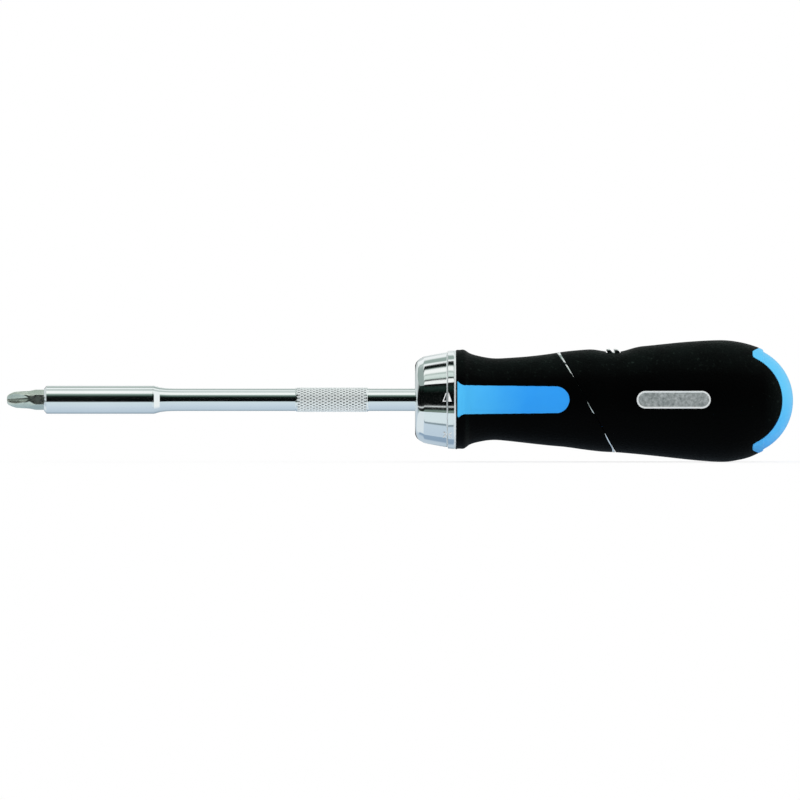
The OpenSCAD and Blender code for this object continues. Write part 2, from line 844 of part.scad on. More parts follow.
module detent_spring() {
    from = 2 * detent_ball_r - detent_proud;
    color("gray") rotate([detent_angle, 0, 0]) translate([0, detent_at, 0]) along_x(collar_x + from)
        coil(detent_ball_r - 2 * detent_wire, detent_wire, detent_turn_count, detent_hole - from);
}

// Front half of the handle
module window_outline(grow) {
    half = window_half - grow;
    wide = window_half * window_open_share - grow;
    end = grip_x + window_len - window_half;
    polygon(concat(
        [[grip_x - overrun, wide + window_flare], [grip_x, wide + window_flare],
            [grip_x + window_flare_len / 2, wide + window_flare / 4], [grip_x + window_flare_len, wide]],
        [for (i = [0:arc_step_count]) let (a = 90 - 180 * i / arc_step_count) [end, 0] + polar(half, a)],
        [[grip_x + window_flare_len, -wide], [grip_x + window_flare_len / 2, -wide - window_flare / 4],
            [grip_x, -wide - window_flare], [grip_x - overrun, -wide - window_flare]]));
}

module front_core() {
    xs = stations(grip_x, seam_x + seam_reach, front_ring_count);
    color("dodgerblue") difference() {
        loft([for (x = xs) ring_at(x, rubber + skin_gap)]);
        behind(-plate_t);
        along_x(grip_x - overrun) cylinder(r = barrel_r, h = barrel_len + overrun);
        at_seam() translate([0, 0, bolt_z]) cylinder(r = pivot_r, h = bolt_grip + overrun);
        at_seam() translate([0, 0, bolt_z - bolt_head_t]) cylinder(r = bolt_head_r, h = bolt_head_t);
    }
}

module front_grip() {
    xs = stations(grip_x, seam_x + seam_reach, front_ring_count);
    color("dimgray") difference() {
        loft_shell([for (x = xs) ring_at(x, 0)], [for (x = xs) ring_at(x, rubber)]);
        behind(-plate_t);
        sideways(far) window_outline(0);
    }
}

module grip_inlays() {
    xs = stations(grip_x, grip_x + window_len, front_ring_count);
    color("dodgerblue") intersection() {
        loft_shell([for (x = xs) ring_at(x, inlay_low)], [for (x = xs) ring_at(x, rubber)]);
        sideways(far) window_outline(inlay_gap);
    }
}

// Swivel
module seam_plate() {
    xs = stations(seam_x - seam_reach, seam_x + seam_reach, plate_ring_count);
    color("silver") difference() {
        loft([for (x = xs) ring_at(x, 0)]);
        behind(0);
        ahead_of(-plate_t);
        at_seam() translate([0, 0, -overrun - plate_t]) cylinder(r = pivot_r, h = plate_t + 2 * overrun);
    }
}

module pivot_bolt() {
    color("gray") at_seam() difference() {
        union() {
            translate([0, 0, bolt_z]) cylinder(r = pivot_r, h = bolt_end - bolt_z);
            translate([0, 0, bolt_z - bolt_head_t]) cylinder(r = bolt_head_r, h = bolt_head_t);
        }
        translate([0, 0, bolt_end]) cube([4 * pivot_r, driver_slot, driver_slot], center = true);
    }
}

module index_disc() {
    color("gray") at_seam() difference() {
        union() {
            translate([0, 0, hub_z]) cylinder(r = hub_r, h = disc_hub_t);
            translate([0, 0, disc_z]) cylinder(r = disc_r, h = disc_t);
        }
        translate([0, 0, hub_z - overrun]) cylinder(r = pivot_r, h = disc_hub_t + disc_t + 2 * overrun);
        for (a = [0, 180]) rotate([0, 0, a])
            box_at(disc_r - notch_depth, disc_r + overrun, notch_w / 2, disc_z, disc_z + disc_t + overrun);
    }
}

module wave_washer() {
    color("silver") at_seam() translate([0, 0, wave_z]) tube(hub_r, pivot_r + run_gap, wave_t);
}

module pivot_nut() {
    color("gray") at_seam() translate([0, 0, nut_z]) difference() {
        tube(nut_r, pivot_r, nut_t);
        translate([0, 0, nut_t]) cube([4 * nut_r, 2 * driver_slot, 2 * driver_slot], center = true);
    }
}

module wear_plate() {
    color("silver") at_seam() translate([0, 0, wear_z]) tube(wear_r, pivot_bush_r, wear_t);
}

module pivot_bush() {
    color("peru") at_seam() translate([0, 0, wear_z])
        tube(pivot_bush_r, pivot_r + run_gap, wall_z + wall_t - wear_z);
}

// Rear half of the handle
function rear_stations() =
    stations_to_end(seam_x - seam_reach, handle_end - cap_t + overrun, rear_ring_count);

// All that lies behind the round seat of the cap, moved back by gap
module beyond_seat(gap) {
    difference() {
        translate([cap_tip_x + gap, -far, -far]) cube([2 * far, 2 * far, 2 * far]);
        translate([0, 0, -cap_drop]) sideways(2 * far) translate([seat_mid + gap, 0]) circle(r = seat_r);
    }
}

module lock_spaces() {
    low = lock_low + lock_rim + button_travel + lock_clear;
    top = lock_top + lock_rim + lock_clear;
    at_seam() {
        translate([0, 0, wall_z + wall_t])
            cylinder(r = disc_r + lock_clear, h = bolt_end + pass_gap - wall_z - wall_t);
        box_at(-top, low, lock_side + lock_rim + lock_clear, disc_z - pass_gap, disc_z + disc_t + pass_gap);
        box_at(-top, -lock_top + button_travel + lock_clear, arm_w / 2 + lock_clear,
            disc_z - pass_gap, button_at + button_len / 2 + pass_gap);
        translate([lock_low, 0, disc_z + disc_t / 2]) rotate([0, 90, 0])
            cylinder(r = lock_spring_r + lock_spring_wire + pass_gap, h = lock_rim + lock_spring_len);
    }
    button_channel(pass_gap);
}

module button_channel(gap) {
    at_seam() box_at(-far, button_travel + lock_clear - lock_top - arm_t, button_w / 2 + gap,
        button_at - button_len / 2 - gap, button_at + button_len / 2 + gap);
}

module badge_frame() {
    half = badge_len / 2;
    near = half_h(badge_x - half) * depth_at(badge_x - half);
    away = half_h(badge_x + half) * depth_at(badge_x + half);
    translate([badge_x, -(near + away) / 2, 0]) rotate([0, 0, -atan((away - near) / badge_len)])
        rotate([90, 0, 0]) children();
}

module badge_outline(inset) {
    r = badge_h / 2 - inset;
    reach = badge_len / 2 - badge_h / 2;
    square([2 * reach, 2 * r], center = true);
    for (s = [-1, 1]) translate([s * reach, 0]) circle(r = r);
}

module rear_core() {
    color("dodgerblue") difference() {
        loft([for (x = rear_stations()) ring_at(x, rubber + skin_gap)]);
        ahead_of(run_plate);
        beyond_seat(0);
        at_seam() translate([0, 0, -overrun]) cylinder(r = wear_r, h = overrun + wall_z);
        at_seam() translate([0, 0, -overrun]) cylinder(r = pivot_bush_r, h = wall_z + wall_t + 2 * overrun);
        lock_spaces();
        along_x(chamber_x) cylinder(r = chamber_r, h = far);
    }
}

module rear_grip() {
    xs = rear_stations();
    color("dimgray") difference() {
        loft_shell([for (x = xs) ring_at(x, 0)], [for (x = xs) ring_at(x, rubber)]);
        ahead_of(run_plate);
        beyond_seat(0);
        button_channel(pass_gap);
        along_x(chamber_x) cylinder(r = chamber_r, h = far);
        badge_frame() translate([0, 0, badge_proud - badge_t]) linear_extrude(belly_r) badge_outline(0);
    }
}

module badge_plate() {
    color("lightgray") badge_frame() translate([0, 0, badge_proud - badge_t]) difference() {
        linear_extrude(badge_t) badge_outline(0);
        translate([0, 0, badge_t - badge_sink]) linear_extrude(overrun) badge_outline(badge_rim);
    }
}

// Lock
module lock_plate() {
    color("gray") at_seam() {
        difference() {
            box_at(-lock_top - lock_rim, lock_low + lock_rim, lock_side + lock_rim, disc_z, disc_z + disc_t);
            box_at(-lock_top, lock_low, lock_side, disc_z - overrun, disc_z + disc_t + overrun);
        }
        box_at(lock_low - lock_tooth, lock_low + lock_rim / 2, lock_tooth_w / 2, disc_z, disc_z + disc_t);
        box_at(-lock_top - arm_t, -lock_top, arm_w / 2, disc_z, button_at + button_len / 2);
    }
}

module lock_button() {
    color("silver") difference() {
        at_seam() box_at(-far / 2, -lock_top - arm_t, button_w / 2,
            button_at - button_len / 2, button_at + button_len / 2);
        translate([seam_x - far, -far, button_top]) cube([2 * far, 2 * far, far]);
        for (s = [-1, 0, 1])
            translate([button_x + s * button_len / 4 - rib_w / 2, -far, button_top - rib_depth])
                cube([rib_w, 2 * far, far]);
    }
}

module lock_spring() {
    color("silver") at_seam() translate([lock_low + lock_rim, 0, disc_z + disc_t / 2]) rotate([0, 90, 0])
        coil(lock_spring_r, lock_spring_wire, lock_spring_turn_count, lock_spring_len);
}

// Magazine
module spare_places() {
    for (i = [0:spare_count - 1]) rotate([360 / spare_count * i, 0, 0])
        translate([0, 0, spare_ring_r]) children();
}

module bit_rack() {
    color("dodgerblue") difference() {
        union() {
            along_x(rack_x) cylinder(r = rack_r, h = rack_disc_t);
            along_x(rack_x) cylinder(r = rack_hub_r, h = spigot_x - rack_x);
            along_x(spigot_x - rack_disc_t) cylinder(r = rack_r, h = rack_disc_t);
        }
        spare_places() {
            rotate([30, 0, 0]) along_x(rack_x - overrun)
                cylinder(r = spare_hole_r, h = spigot_x - rack_x + 2 * overrun, $fn = 6);
            translate([rack_x - overrun, -spare_slot_w / 2, 0])
                cube([spigot_x - rack_x + 2 * overrun, spare_slot_w, rack_r]);
        }
        along_x(rack_x - overrun) cylinder(r = rack_screw_r, h = far);
        along_x(rack_x - overrun) cylinder(r = rack_screw_head_r, h = rack_screw_head_t + overrun);
    }
}

module spare_bits() {
    color("slategray") spare_places() rotate([30, 0, 0]) along_x(spare_x) bit_shape();
}

module rack_screw() {
    color("gray") difference() {
        union() {
            along_x(rack_x) cylinder(r = rack_screw_r, h = spigot_x - rack_x + rack_screw_bite);
            along_x(rack_x) cylinder(r = rack_screw_head_r, h = rack_screw_head_t);
        }
        translate([rack_x, 0, 0])
            cube([2 * driver_slot, 4 * rack_screw_head_r, 2 * driver_slot], center = true);
    }
}

module rack_o_ring() {
    color("black") along_x(o_ring_x) rotate_extrude() translate([chamber_r - run_gap - o_ring_wire, 0])
        circle(r = o_ring_wire);
}

module cap_dome() {
    loft([for (x = stations_to_end(cap_mid - overrun, handle_end, cap_ring_count)) cap_ring_at(x)]);
}

// Cap: a dome beyond the round seat, a lip flush with the body and a spigot in the chamber
module end_cap() {
    color("deepskyblue") difference() {
        union() {
            intersection() {
                cap_dome();
                beyond_seat(pass_gap);
            }
            intersection() {
                loft([for (x = stations(cap_mid - overrun, cap_lip_end, cap_ring_count)) ring_at(x, 0)]);
                beyond_seat(pass_gap);
            }
            intersection() {
                cap_dome();
                along_x(spigot_x) cylinder(r = rack_r, h = far);
            }
        }
        along_x(o_ring_x) rotate_extrude() translate([chamber_r - run_gap - o_ring_wire, 0])
            circle(r = o_ring_wire);
        along_x(spigot_x - overrun) cylinder(r = rack_screw_r, h = rack_screw_bite + overrun);
    }
}

screw_bit();
bit_holder();
bit_magnet();
bit_clip();
drive_shaft();
ratchet_gear();
shaft_circlip();
front_bush();
rear_bush();
ratchet_housing();
ratchet_cover();
cover_screws();
selector_ring();
selector_snap_ring();
detent_ball();
detent_spring();
pawl_forward();
pawl_reverse();
pawl_pins();
pawl_spring_forward();
pawl_spring_reverse();
front_core();
front_grip();
grip_inlays();
seam_plate();
pivot_bolt();
index_disc();
wave_washer();
pivot_nut();
rear_core();
rear_grip();
wear_plate();
pivot_bush();
badge_plate();
lock_button();
lock_plate();
lock_spring();
bit_rack();
spare_bits();
rack_screw();
rack_o_ring();
end_cap();
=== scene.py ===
"""Looks for the ratcheting screwdriver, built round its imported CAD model.

Lengths are in millimetres until a mesh is made. X runs from the bit's tip to the handle's end, Z is up, and
the badge is on the -Y side, where the camera stands.
"""

import math

import bmesh
import bpy
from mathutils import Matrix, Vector

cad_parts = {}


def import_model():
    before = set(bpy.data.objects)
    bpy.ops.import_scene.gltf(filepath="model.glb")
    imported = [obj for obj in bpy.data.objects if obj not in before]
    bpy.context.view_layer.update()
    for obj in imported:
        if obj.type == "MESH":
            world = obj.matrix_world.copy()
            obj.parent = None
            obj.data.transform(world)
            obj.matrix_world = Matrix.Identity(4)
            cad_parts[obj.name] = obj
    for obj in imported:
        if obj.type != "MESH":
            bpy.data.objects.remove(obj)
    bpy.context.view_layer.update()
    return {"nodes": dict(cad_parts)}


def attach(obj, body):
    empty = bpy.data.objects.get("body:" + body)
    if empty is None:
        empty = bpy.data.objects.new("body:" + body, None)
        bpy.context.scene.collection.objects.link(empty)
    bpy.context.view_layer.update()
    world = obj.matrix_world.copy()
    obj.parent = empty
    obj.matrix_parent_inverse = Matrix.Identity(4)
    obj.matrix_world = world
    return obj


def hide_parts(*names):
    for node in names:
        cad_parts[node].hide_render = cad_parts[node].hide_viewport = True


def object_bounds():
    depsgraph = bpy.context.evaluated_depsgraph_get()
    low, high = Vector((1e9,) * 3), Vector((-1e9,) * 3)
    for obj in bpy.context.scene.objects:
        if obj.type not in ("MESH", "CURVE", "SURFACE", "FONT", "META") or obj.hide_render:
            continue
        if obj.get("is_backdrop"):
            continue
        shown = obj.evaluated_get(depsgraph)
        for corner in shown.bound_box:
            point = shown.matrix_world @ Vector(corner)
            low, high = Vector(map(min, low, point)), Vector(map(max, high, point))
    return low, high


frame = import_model()

MM = 0.001

# Stations and sizes as in part.scad
BIT_LEN, HEX_HALF, POINT_R, POINT_LEN = 25.0, 3.175, 3.2, 8.0
HEX_CORNER = HEX_HALF / math.cos(math.pi / 6)
HOLDER_END, HOLDER_R = 52.9, 5.0
SHAFT_R = 4.0
KNURL_X, KNURL_LEN = 103.4, 26.0
RING_X, RING_LEN, RING_R, RING_FACE_R = 146.1, 11.6, 17.0, 12.0
RING_END = RING_X + RING_LEN
RING_WALL = 1.7
FLAT_COUNT, FLAT_TURN, FLAT_FROM, FLAT_FULL = 10, 0.467, 0.08, 0.27
COLLAR_R = 17.4
GRIP_X, HANDLE_END = 161.85, 281.05
HANDLE_LEN = HANDLE_END - GRIP_X
BELLY_R, RUBBER = 21.8, 2.1
SEAM_X, SEAM_DROP, SEAM_ANGLE = 207.75, 1.1, 29.0
PLATE_T, RUN_PLATE = 0.9, 0.15
PASS_GAP = 0.25
CAP_R, CAP_DROP, SEAT_R, CAP_T = 19.6, 0.3, 16.6, 3.9
CAP_MID = HANDLE_END - CAP_R
SEAT_MID = HANDLE_END - CAP_T - SEAT_R
BODY_DOME_R = CAP_R + 1.3
BODY_DOME_MID = HANDLE_END - BODY_DOME_R
DOME_FROM = 0.894
CAP_TIP_X, CAP_LIP_END = HANDLE_END - 14.6, HANDLE_END - 10.8
SPIGOT_X, RACK_R, CHAMBER_R = 265.25, 11.05, 11.3
BADGE_X, BADGE_LEN, BADGE_H = 238.45, 26.7, 6.5
BUTTON_AT, BUTTON_LEN, BUTTON_W, BUTTON_TOP = 17.0, 3.8, 8.0, 18.1

# What differs a little from the solids, to agree with the photo: the rubber's front lip and the sleeve
# under it, the windows, the thumb scoop, the bit's tip, the badge, the button and the cap's edge
LIP_X, LIP_FORWARD = 161.05, 0.38
SLEEVE_PROUD, SLEEVE_FLARE = 0.03, 0.13
WINDOW_LEN, WINDOW_HALF, WINDOW_DEPTH = 39.1, 4.75, 2.3
WINDOW_ROUND_X = GRIP_X + WINDOW_LEN - WINDOW_HALF
SCOOP_DEPTH, SCOOP_MID, SCOOP_HALF, SCOOP_TURN = 1.35, 0.467, 0.083, 55.0
TIP_X, GROOVE_TURN = 0.35, 8.0
BADGE_FORWARD, BADGE_TRIM, BADGE_SHORT = 0.35, 0.12, 0.05
BUTTON_SHIFT = 0.2
CAP_SHORT, CAP_TIP_SHORT = 0.45, 0.35

SEAM_GAP, SEAM_ROUND = 0.03, 0.22
TINY = 0.0001

# Outline of the handle: share of its length, top, bottom, depth
PROFILE = [
    (0.000, 0.818, 0.803, 1.00), (0.014, 0.820, 0.800, 1.00),
    (0.031, 0.765, 0.737, 1.00), (0.049, 0.731, 0.703, 1.00),
    (0.085, 0.690, 0.666, 0.99), (0.112, 0.678, 0.660, 0.98),
    (0.157, 0.690, 0.682, 0.97), (0.211, 0.713, 0.716, 0.96),
    (0.265, 0.748, 0.748, 0.95), (0.319, 0.792, 0.775, 0.94),
    (0.373, 0.820, 0.816, 0.93), (0.427, 0.836, 0.850, 0.92),
    (0.481, 0.846, 0.866, 0.91), (0.553, 0.880, 0.902, 0.90),
    (0.607, 0.910, 0.933, 0.89), (0.661, 0.940, 0.966, 0.88),
    (0.715, 0.962, 0.996, 0.88), (0.769, 0.976, 1.016, 0.88),
    (0.805, 0.972, 1.014, 0.88), (0.841, 0.944, 0.982, 0.90),
    (0.870, 0.905, 0.940, 0.92), (0.894, 0.862, 0.882, 0.94),
]


# Colours are written as they look, and turned to linear values here
def linear(c):
    return c / 12.92 if c <= 0.04045 else ((c + 0.055) / 1.055) ** 2.4


def rgb(r, g, b):
    return (linear(r / 255), linear(g / 255), linear(b / 255), 1.0)


def smooth(lo, hi, x):
    t = min(max((x - lo) / (hi - lo), 0.0), 1.0)
    return t * t * (3 - 2 * t)


def mix(a, b, t):
    return a + (b - a) * t


def arcsine(v):
    return math.asin(max(-1.0, min(1.0, v)))


# Materials

class Tree:
    """A short way to build a node tree."""

    def __init__(self, tree):
        self.tree = tree

    def add(self, kind, **values):
        node = self.tree.nodes.new(kind)
        for key, value in values.items():
            setattr(node, key, value)
        return node

    def put(self, socket, value):
        if isinstance(value, bpy.types.NodeSocket):
            self.tree.links.new(value, socket)
        else:
            socket.default_value = value

    def fill(self, node, *values):
        """Sets a node's first inputs and gives its first output."""
        for socket, value in zip(node.inputs, values):
            self.put(socket, value)
        return node.outputs[0]

    def math(self, kind, a, b=0.0, clamp=False):
        return self.fill(self.add("ShaderNodeMath", operation=kind, use_clamp=clamp), a, b)

    def times(self, a, b):
        return self.math("MULTIPLY", a, b)

    def plus(self, a, b):
        return self.math("ADD", a, b)

    def split(self, vector):
        node = self.add("ShaderNodeSeparateXYZ")
        self.put(node.inputs[0], vector)
        return node.outputs

    def blend(self, fac, a, b):
        node = self.add("ShaderNodeMix", data_type="RGBA")
        for index, value in ((0, fac), (6, a), (7, b)):
            self.put(node.inputs[index], value)
        return node.outputs[2]

    def span(self, value, low, high, to_low=0.0, to_high=1.0, kind="LINEAR"):
        node = self.add("ShaderNodeMapRange", interpolation_type=kind)
        return self.fill(node, value, low, high, to_low, to_high)

    def either(self, fac, a, b):
        """One shader or the other."""
        return self.fill(self.add("ShaderNodeMixShader"), fac, a, b)


class Nodes(Tree):
    """One material's nodes, on the piece's own coordinates."""

    def __init__(self, name):
        self.material = bpy.data.materials.new(name)
        self.material.use_nodes = True
        super().__init__(self.material.node_tree)
        self.shader = self.tree.nodes["Principled BSDF"]
        self.place = self.add("ShaderNodeTexCoord").outputs["Object"]

    def noise(self, scale, detail=2.0, rough=0.5, vector=None):
        node = self.add("ShaderNodeTexNoise")
        values = (vector or self.place, scale, detail, rough)
        for key, value in zip(("Vector", "Scale", "Detail", "Roughness"), values):
            self.put(node.inputs[key], value)
        return node.outputs["Fac"]

    def cells(self, scale):
        node = self.add("ShaderNodeTexVoronoi")
        self.put(node.inputs["Vector"], self.place)
        self.put(node.inputs["Scale"], scale)
        return node.outputs["Distance"]

    def stretched(self, *scales):
        node = self.add("ShaderNodeMapping")
        self.put(node.inputs["Vector"], self.place)
        self.put(node.inputs["Scale"], scales)
        return node.outputs[0]

    def set(self, **values):
        for key, value in values.items():
            self.put(self.shader.inputs[key.replace("_", " ")], value)

    def bump(self, height, strength, distance_mm):
        node = self.add("ShaderNodeBump")
        self.put(node.inputs["Strength"], strength)
        self.put(node.inputs["Distance"], distance_mm * MM)
        self.put(node.inputs["Height"], height)
        self.set(Normal=node.outputs[0])


def metal(name, dark, light, rough_low, rough_high, grain, bump, specks=0.0, share=1.0, mottle=60.0):
    """A metal with fine grain in roughness and bump, a patchy tone, and dark specks if specks is set."""
    n = Nodes(name)
    fine = n.noise(grain, 4.0, 0.6)
    broad = n.noise(mottle, 3.0, 0.6)
    tone = n.blend(n.span(broad, 0.3, 0.7), rgb(*dark), rgb(*light))
    if specks:
        spot = n.span(n.noise(grain * 2.2, 1.0, 0.5), 0.66, 0.74, 0.0, specks)
        tone = n.blend(spot, tone, rgb(60, 60, 58))
    n.set(Base_Color=tone, Metallic=share, Roughness=n.span(fine, 0.3, 0.7, rough_low, rough_high))
    n.bump(fine, 0.3, bump)
    return n.material


def rubber_material(name):
    """Spark-eroded black rubber: fine pits, and pale flecks painted where it faces up or back, as painted
    sheen and painted glints.
    """
    n = Nodes(name)
    grain = n.noise(1500.0, 3.0, 0.65)
    pits = n.cells(1100.0)
    base = n.blend(n.noise(90.0, 2.0, 0.5), rgb(1, 1, 1), rgb(2, 3, 3))
    # Where the rubber faces up or towards the handle's end, its colour is lightened and flecked pale: painted
    # sheen and painted glints
    facing = n.split(n.place.node.outputs["Normal"])
    up = n.span(facing["Z"], 0.4, 0.9)
    back = n.span(facing["X"], 0.45, 0.85, 0.0, 0.9)
    patches = n.span(n.noise(110.0, 3.0, 0.6), 0.3, 0.62, 0.35, 1.0)
    painted_sheen = n.times(n.math("MAXIMUM", up, back), patches)
    painted_glints = n.times(n.span(n.noise(850.0, 2.0, 0.7), 0.61, 0.72), painted_sheen)
    base = n.blend(painted_sheen, base, rgb(11, 19, 17))
    n.set(
        Base_Color=n.blend(painted_glints, base, rgb(40, 53, 47)),
        Roughness=n.span(grain, 0.3, 0.7, 0.4, 0.58),
        Specular_IOR_Level=0.025,
    )
    n.bump(n.plus(grain, n.times(pits, 0.5)), 0.8, 0.2)
    return n.material


def plastic_material(name, deep, pale, axis, start, end):
    """Moulded plastic with a fine semi-matt skin; its colour is painted from pale to deep along an axis, as
    painted light and shade.
    """
    n = Nodes(name)
    along = n.span(n.split(n.place)[axis], start * MM, end * MM)
    cloudy = n.times(n.noise(140.0, 3.0, 0.5), 0.25)
    fac = n.math("ADD", along, n.math("SUBTRACT", cloudy, 0.125), clamp=True)
    fine = n.noise(2600.0, 3.0, 0.6)
    n.set(
        Base_Color=n.blend(fac, rgb(*pale), rgb(*deep)),
        Roughness=n.span(fine, 0.3, 0.7, 0.32, 0.48),
        Specular_IOR_Level=0.3,
    )
    n.bump(fine, 0.25, 0.02)
    return n.material


def paint_material(name, tone):
    """Matt paint laid into a mark."""
    n = Nodes(name)
    fine = n.noise(3000.0, 3.0, 0.6)
    n.set(
        Base_Color=n.blend(fine, rgb(*tone), rgb(*(c * 0.93 for c in tone))),
        Roughness=n.span(fine, 0.3, 0.7, 0.5, 0.7),
    )
    n.bump(fine, 0.3, 0.02)
    return n.material


def wavy_chrome(name):
    """Bright plate with faint waves and hairlines."""
    n = Nodes(name)
    hair = n.noise(500.0, 4.0, 0.6, n.stretched(0.15, 1.0, 1.0))
    broad = n.noise(45.0, 2.0, 0.5)
    n.set(
        Base_Color=n.blend(broad, rgb(238, 243, 243), rgb(250, 252, 252)),
        Metallic=1.0,
        Roughness=n.span(hair, 0.3, 0.75, 0.045, 0.11),
    )
    n.bump(hair, 0.12, 0.01)
    return n.material


chrome = wavy_chrome("chrome_plate")
steel = metal("bit_steel", (200, 211, 199), (224, 231, 222), 0.22, 0.4, 700.0, 0.012, 0.25)
# A whiter, partly diffuse chrome: the knurl's own duller finish, and a painted highlight on the ring's and
# the sleeve's back edges
satin_and_painted_highlight = metal("satin_chrome_and_painted_highlight", (240, 247, 247), (250, 253, 253), 0.3, 0.46, 900.0, 0.006, share=0.45)
# The knurl's roots are painted dark: painted shade between the diamonds
root_painted_shade = metal("knurl_root", (44, 60, 58), (66, 84, 80), 0.45, 0.6, 900.0, 0.01, share=0.4)
inner_steel = metal("turned_steel", (150, 150, 148), (178, 178, 176), 0.2, 0.4, 600.0, 0.01)
spring_steel = metal("spring_steel", (110, 112, 116), (150, 152, 156), 0.22, 0.4, 900.0, 0.008)
magnet_metal = metal("magnet_metal", (88, 86, 84), (120, 118, 116), 0.4, 0.6, 900.0, 0.015, 0.3)
bronze = metal("sintered_bronze", (140, 100, 58), (176, 128, 76), 0.35, 0.6, 1400.0, 0.02, 0.4)
badge_metal = metal("badge_metal", (138, 148, 148), (214, 220, 220), 0.4, 0.62, 1100.0, 0.12, 0.6, 0.5, 800.0)
# The badge's raised rim: a smoother finish, and a near-white colour that is a painted highlight
badge_rim_polish_and_painted_highlight = metal("badge_rim_polish_and_painted_highlight", (236, 242, 242), (250, 252, 252), 0.3, 0.42, 900.0, 0.01, share=0.25)
rubber = rubber_material("grip_rubber_grain")
seal = rubber_material("seal_rubber_grain")
# The panels are painted paler towards their front end by the collar: painted light
blue = plastic_material("blue_plastic_satin", (32, 158, 250), (74, 194, 253), "X", 161.0, 186.0)
# The cap is painted paler at the top and deeper lower down: painted light and shade
cap_blue = plastic_material("cap_plastic_satin", (72, 184, 255), (88, 202, 253), "Z", 4.0, -18.0)
mark_paint = paint_material("mark_fill", (246, 248, 248))

SLOT_LOOKS = {
    "tool_steel": steel, "chrome": chrome, "inner_steel": inner_steel, "spring_steel": spring_steel,
    "magnet": magnet_metal, "bronze": bronze, "blue_plastic": blue, "cap_plastic": cap_blue,
    "grip_rubber": rubber, "seal_rubber": seal, "badge_metal": badge_metal,
}
for node in frame["nodes"].values():
    for place in node.material_slots:
        place.material = SLOT_LOOKS[place.material.name.split(".")[0]]


# Meshes

def make(name, shape, material, body, replaces=(), angle=35.0, weld=0.002):
    """Makes one piece from a shape: (points in millimetres, faces). Points closer than weld are joined."""
    points, faces = shape
    mesh = bpy.data.meshes.new(name)
    mesh.from_pydata([Vector(p) * MM for p in points], [], faces)
    work = bmesh.new()
    work.from_mesh(mesh)
    bmesh.ops.remove_doubles(work, verts=work.verts, dist=weld * MM)
    bmesh.ops.dissolve_degenerate(work, edges=work.edges, dist=weld * MM)
    bmesh.ops.recalc_face_normals(work, faces=work.faces)
    work.to_mesh(mesh)
    work.free()
    mesh.shade_smooth()
    mesh.set_sharp_from_angle(angle=math.radians(angle))
    mesh.materials.append(material)
    piece = bpy.data.objects.new(name, mesh)
    bpy.context.scene.collection.objects.link(piece)
    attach(piece, body)
    if replaces:
        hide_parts(*replaces)
    return piece


def joined(*parts):
    """Several shapes as one."""
    points, faces = [], []
    for some_points, some_faces in parts:
        base = len(points)
        points += some_points
        faces += [[base + i for i in face] for face in some_faces]
    return points, faces


def circle(x, radius, n):
    """A ring of n points round the drive axis. radius is a number, or a function of the angle."""
    ring = []
    for k in range(n):
        t = 2 * math.pi * k / n
        r = radius(t) if callable(radius) else radius
        ring.append((x, r * math.cos(t), r * math.sin(t)))
    return ring


def skin(rings, loop=False, first=True):
    """Faces over rings of equal count. A loop joins its last ring to its first; else the ends are closed."""
    n, count = len(rings[0]), len(rings)
    points = [p for ring in rings for p in ring]
    faces = []
    for i in range(count if loop else count - 1):
        j = (i + 1) % count
        for k in range(n):
            m = (k + 1) % n
            faces.append([i * n + k, j * n + k, j * n + m, i * n + m])
    if not loop:
        if first:
            faces.append(list(range(n)))
        faces.append([(count - 1) * n + k for k in reversed(range(n))])
    return points, faces


def lathe(profile, n):
    """Turns a closed outline of (x, radius) points round the drive axis."""
    return skin([circle(x, r, n) for x, r in profile], loop=True)


def paint_highlight(piece, material, chosen):
    """Gives a second material to the faces of a piece that chosen picks by their middle, in millimetres."""
    piece.data.materials.append(material)
    for face in piece.data.polygons:
        if chosen(face.center / MM):
            face.material_index = 1


def rounded(corners, steps=5):
    """(x, r, radius) corners of an outline, each rounded by its radius, as (x, r) points."""
    out = []
    count = len(corners)
    for i, (x, r, rad) in enumerate(corners):
        here = Vector((x, r))
        if rad <= 0:
            out.append((x, r))
            continue
        before = Vector(corners[i - 1][:2]) - here
        after = Vector(corners[(i + 1) % count][:2]) - here
        a, b = before.normalized(), after.normalized()
        half = math.acos(max(-1.0, min(1.0, a.dot(b)))) / 2
        reach = rad / math.tan(half)
        start, end = here + a * reach, here + b * reach
        middle = here + (a + b).normalized() * (rad / math.sin(half))
        for s in range(steps + 1):
            v = (start - middle).lerp(end - middle, s / steps)
            v = v.normalized() * rad + middle
            out.append((v.x, v.y))
    return out


# Surface of the handle, by the formulas of part.scad

def slope(i, c):
    a, b = PROFILE[max(i - 1, 0)], PROFILE[min(i + 1, len(PROFILE) - 1)]
    return (b[c] - a[c]) / (b[0] - a[0])


def share_at(s, c):
    i = 0
    while i < len(PROFILE) - 2 and s >= PROFILE[i + 1][0]:
        i += 1
    a, b = PROFILE[i], PROFILE[i + 1]
    w = b[0] - a[0]
    t = (s - a[0]) / w
    return (
        (2 * t ** 3 - 3 * t * t + 1) * a[c] + (t ** 3 - 2 * t * t + t) * w * slope(i, c)
        + (3 * t * t - 2 * t ** 3) * b[c] + (t ** 3 - t * t) * w * slope(i + 1, c)
    )


def share_x(x):
    return min(max((x - GRIP_X) / HANDLE_LEN, 0.0), DOME_FROM)


def dome_at(x, r, mid):
    return math.sqrt(max(r * r - (x - mid) ** 2, 0.0004))


def half_h(x):
    s = share_x(x)
    h = BELLY_R * (share_at(s, 1) + share_at(s, 2)) / 2
    start = GRIP_X + DOME_FROM * HANDLE_LEN
    if x <= start:
        return h
    return h * dome_at(x, BODY_DOME_R, BODY_DOME_MID) / dome_at(start, BODY_DOME_R, BODY_DOME_MID)


def mid_z(x):
    s = share_x(x)
    return BELLY_R * (share_at(s, 1) - share_at(s, 2)) / 2


def depth_at(x):
    return share_at(share_x(x), 3)


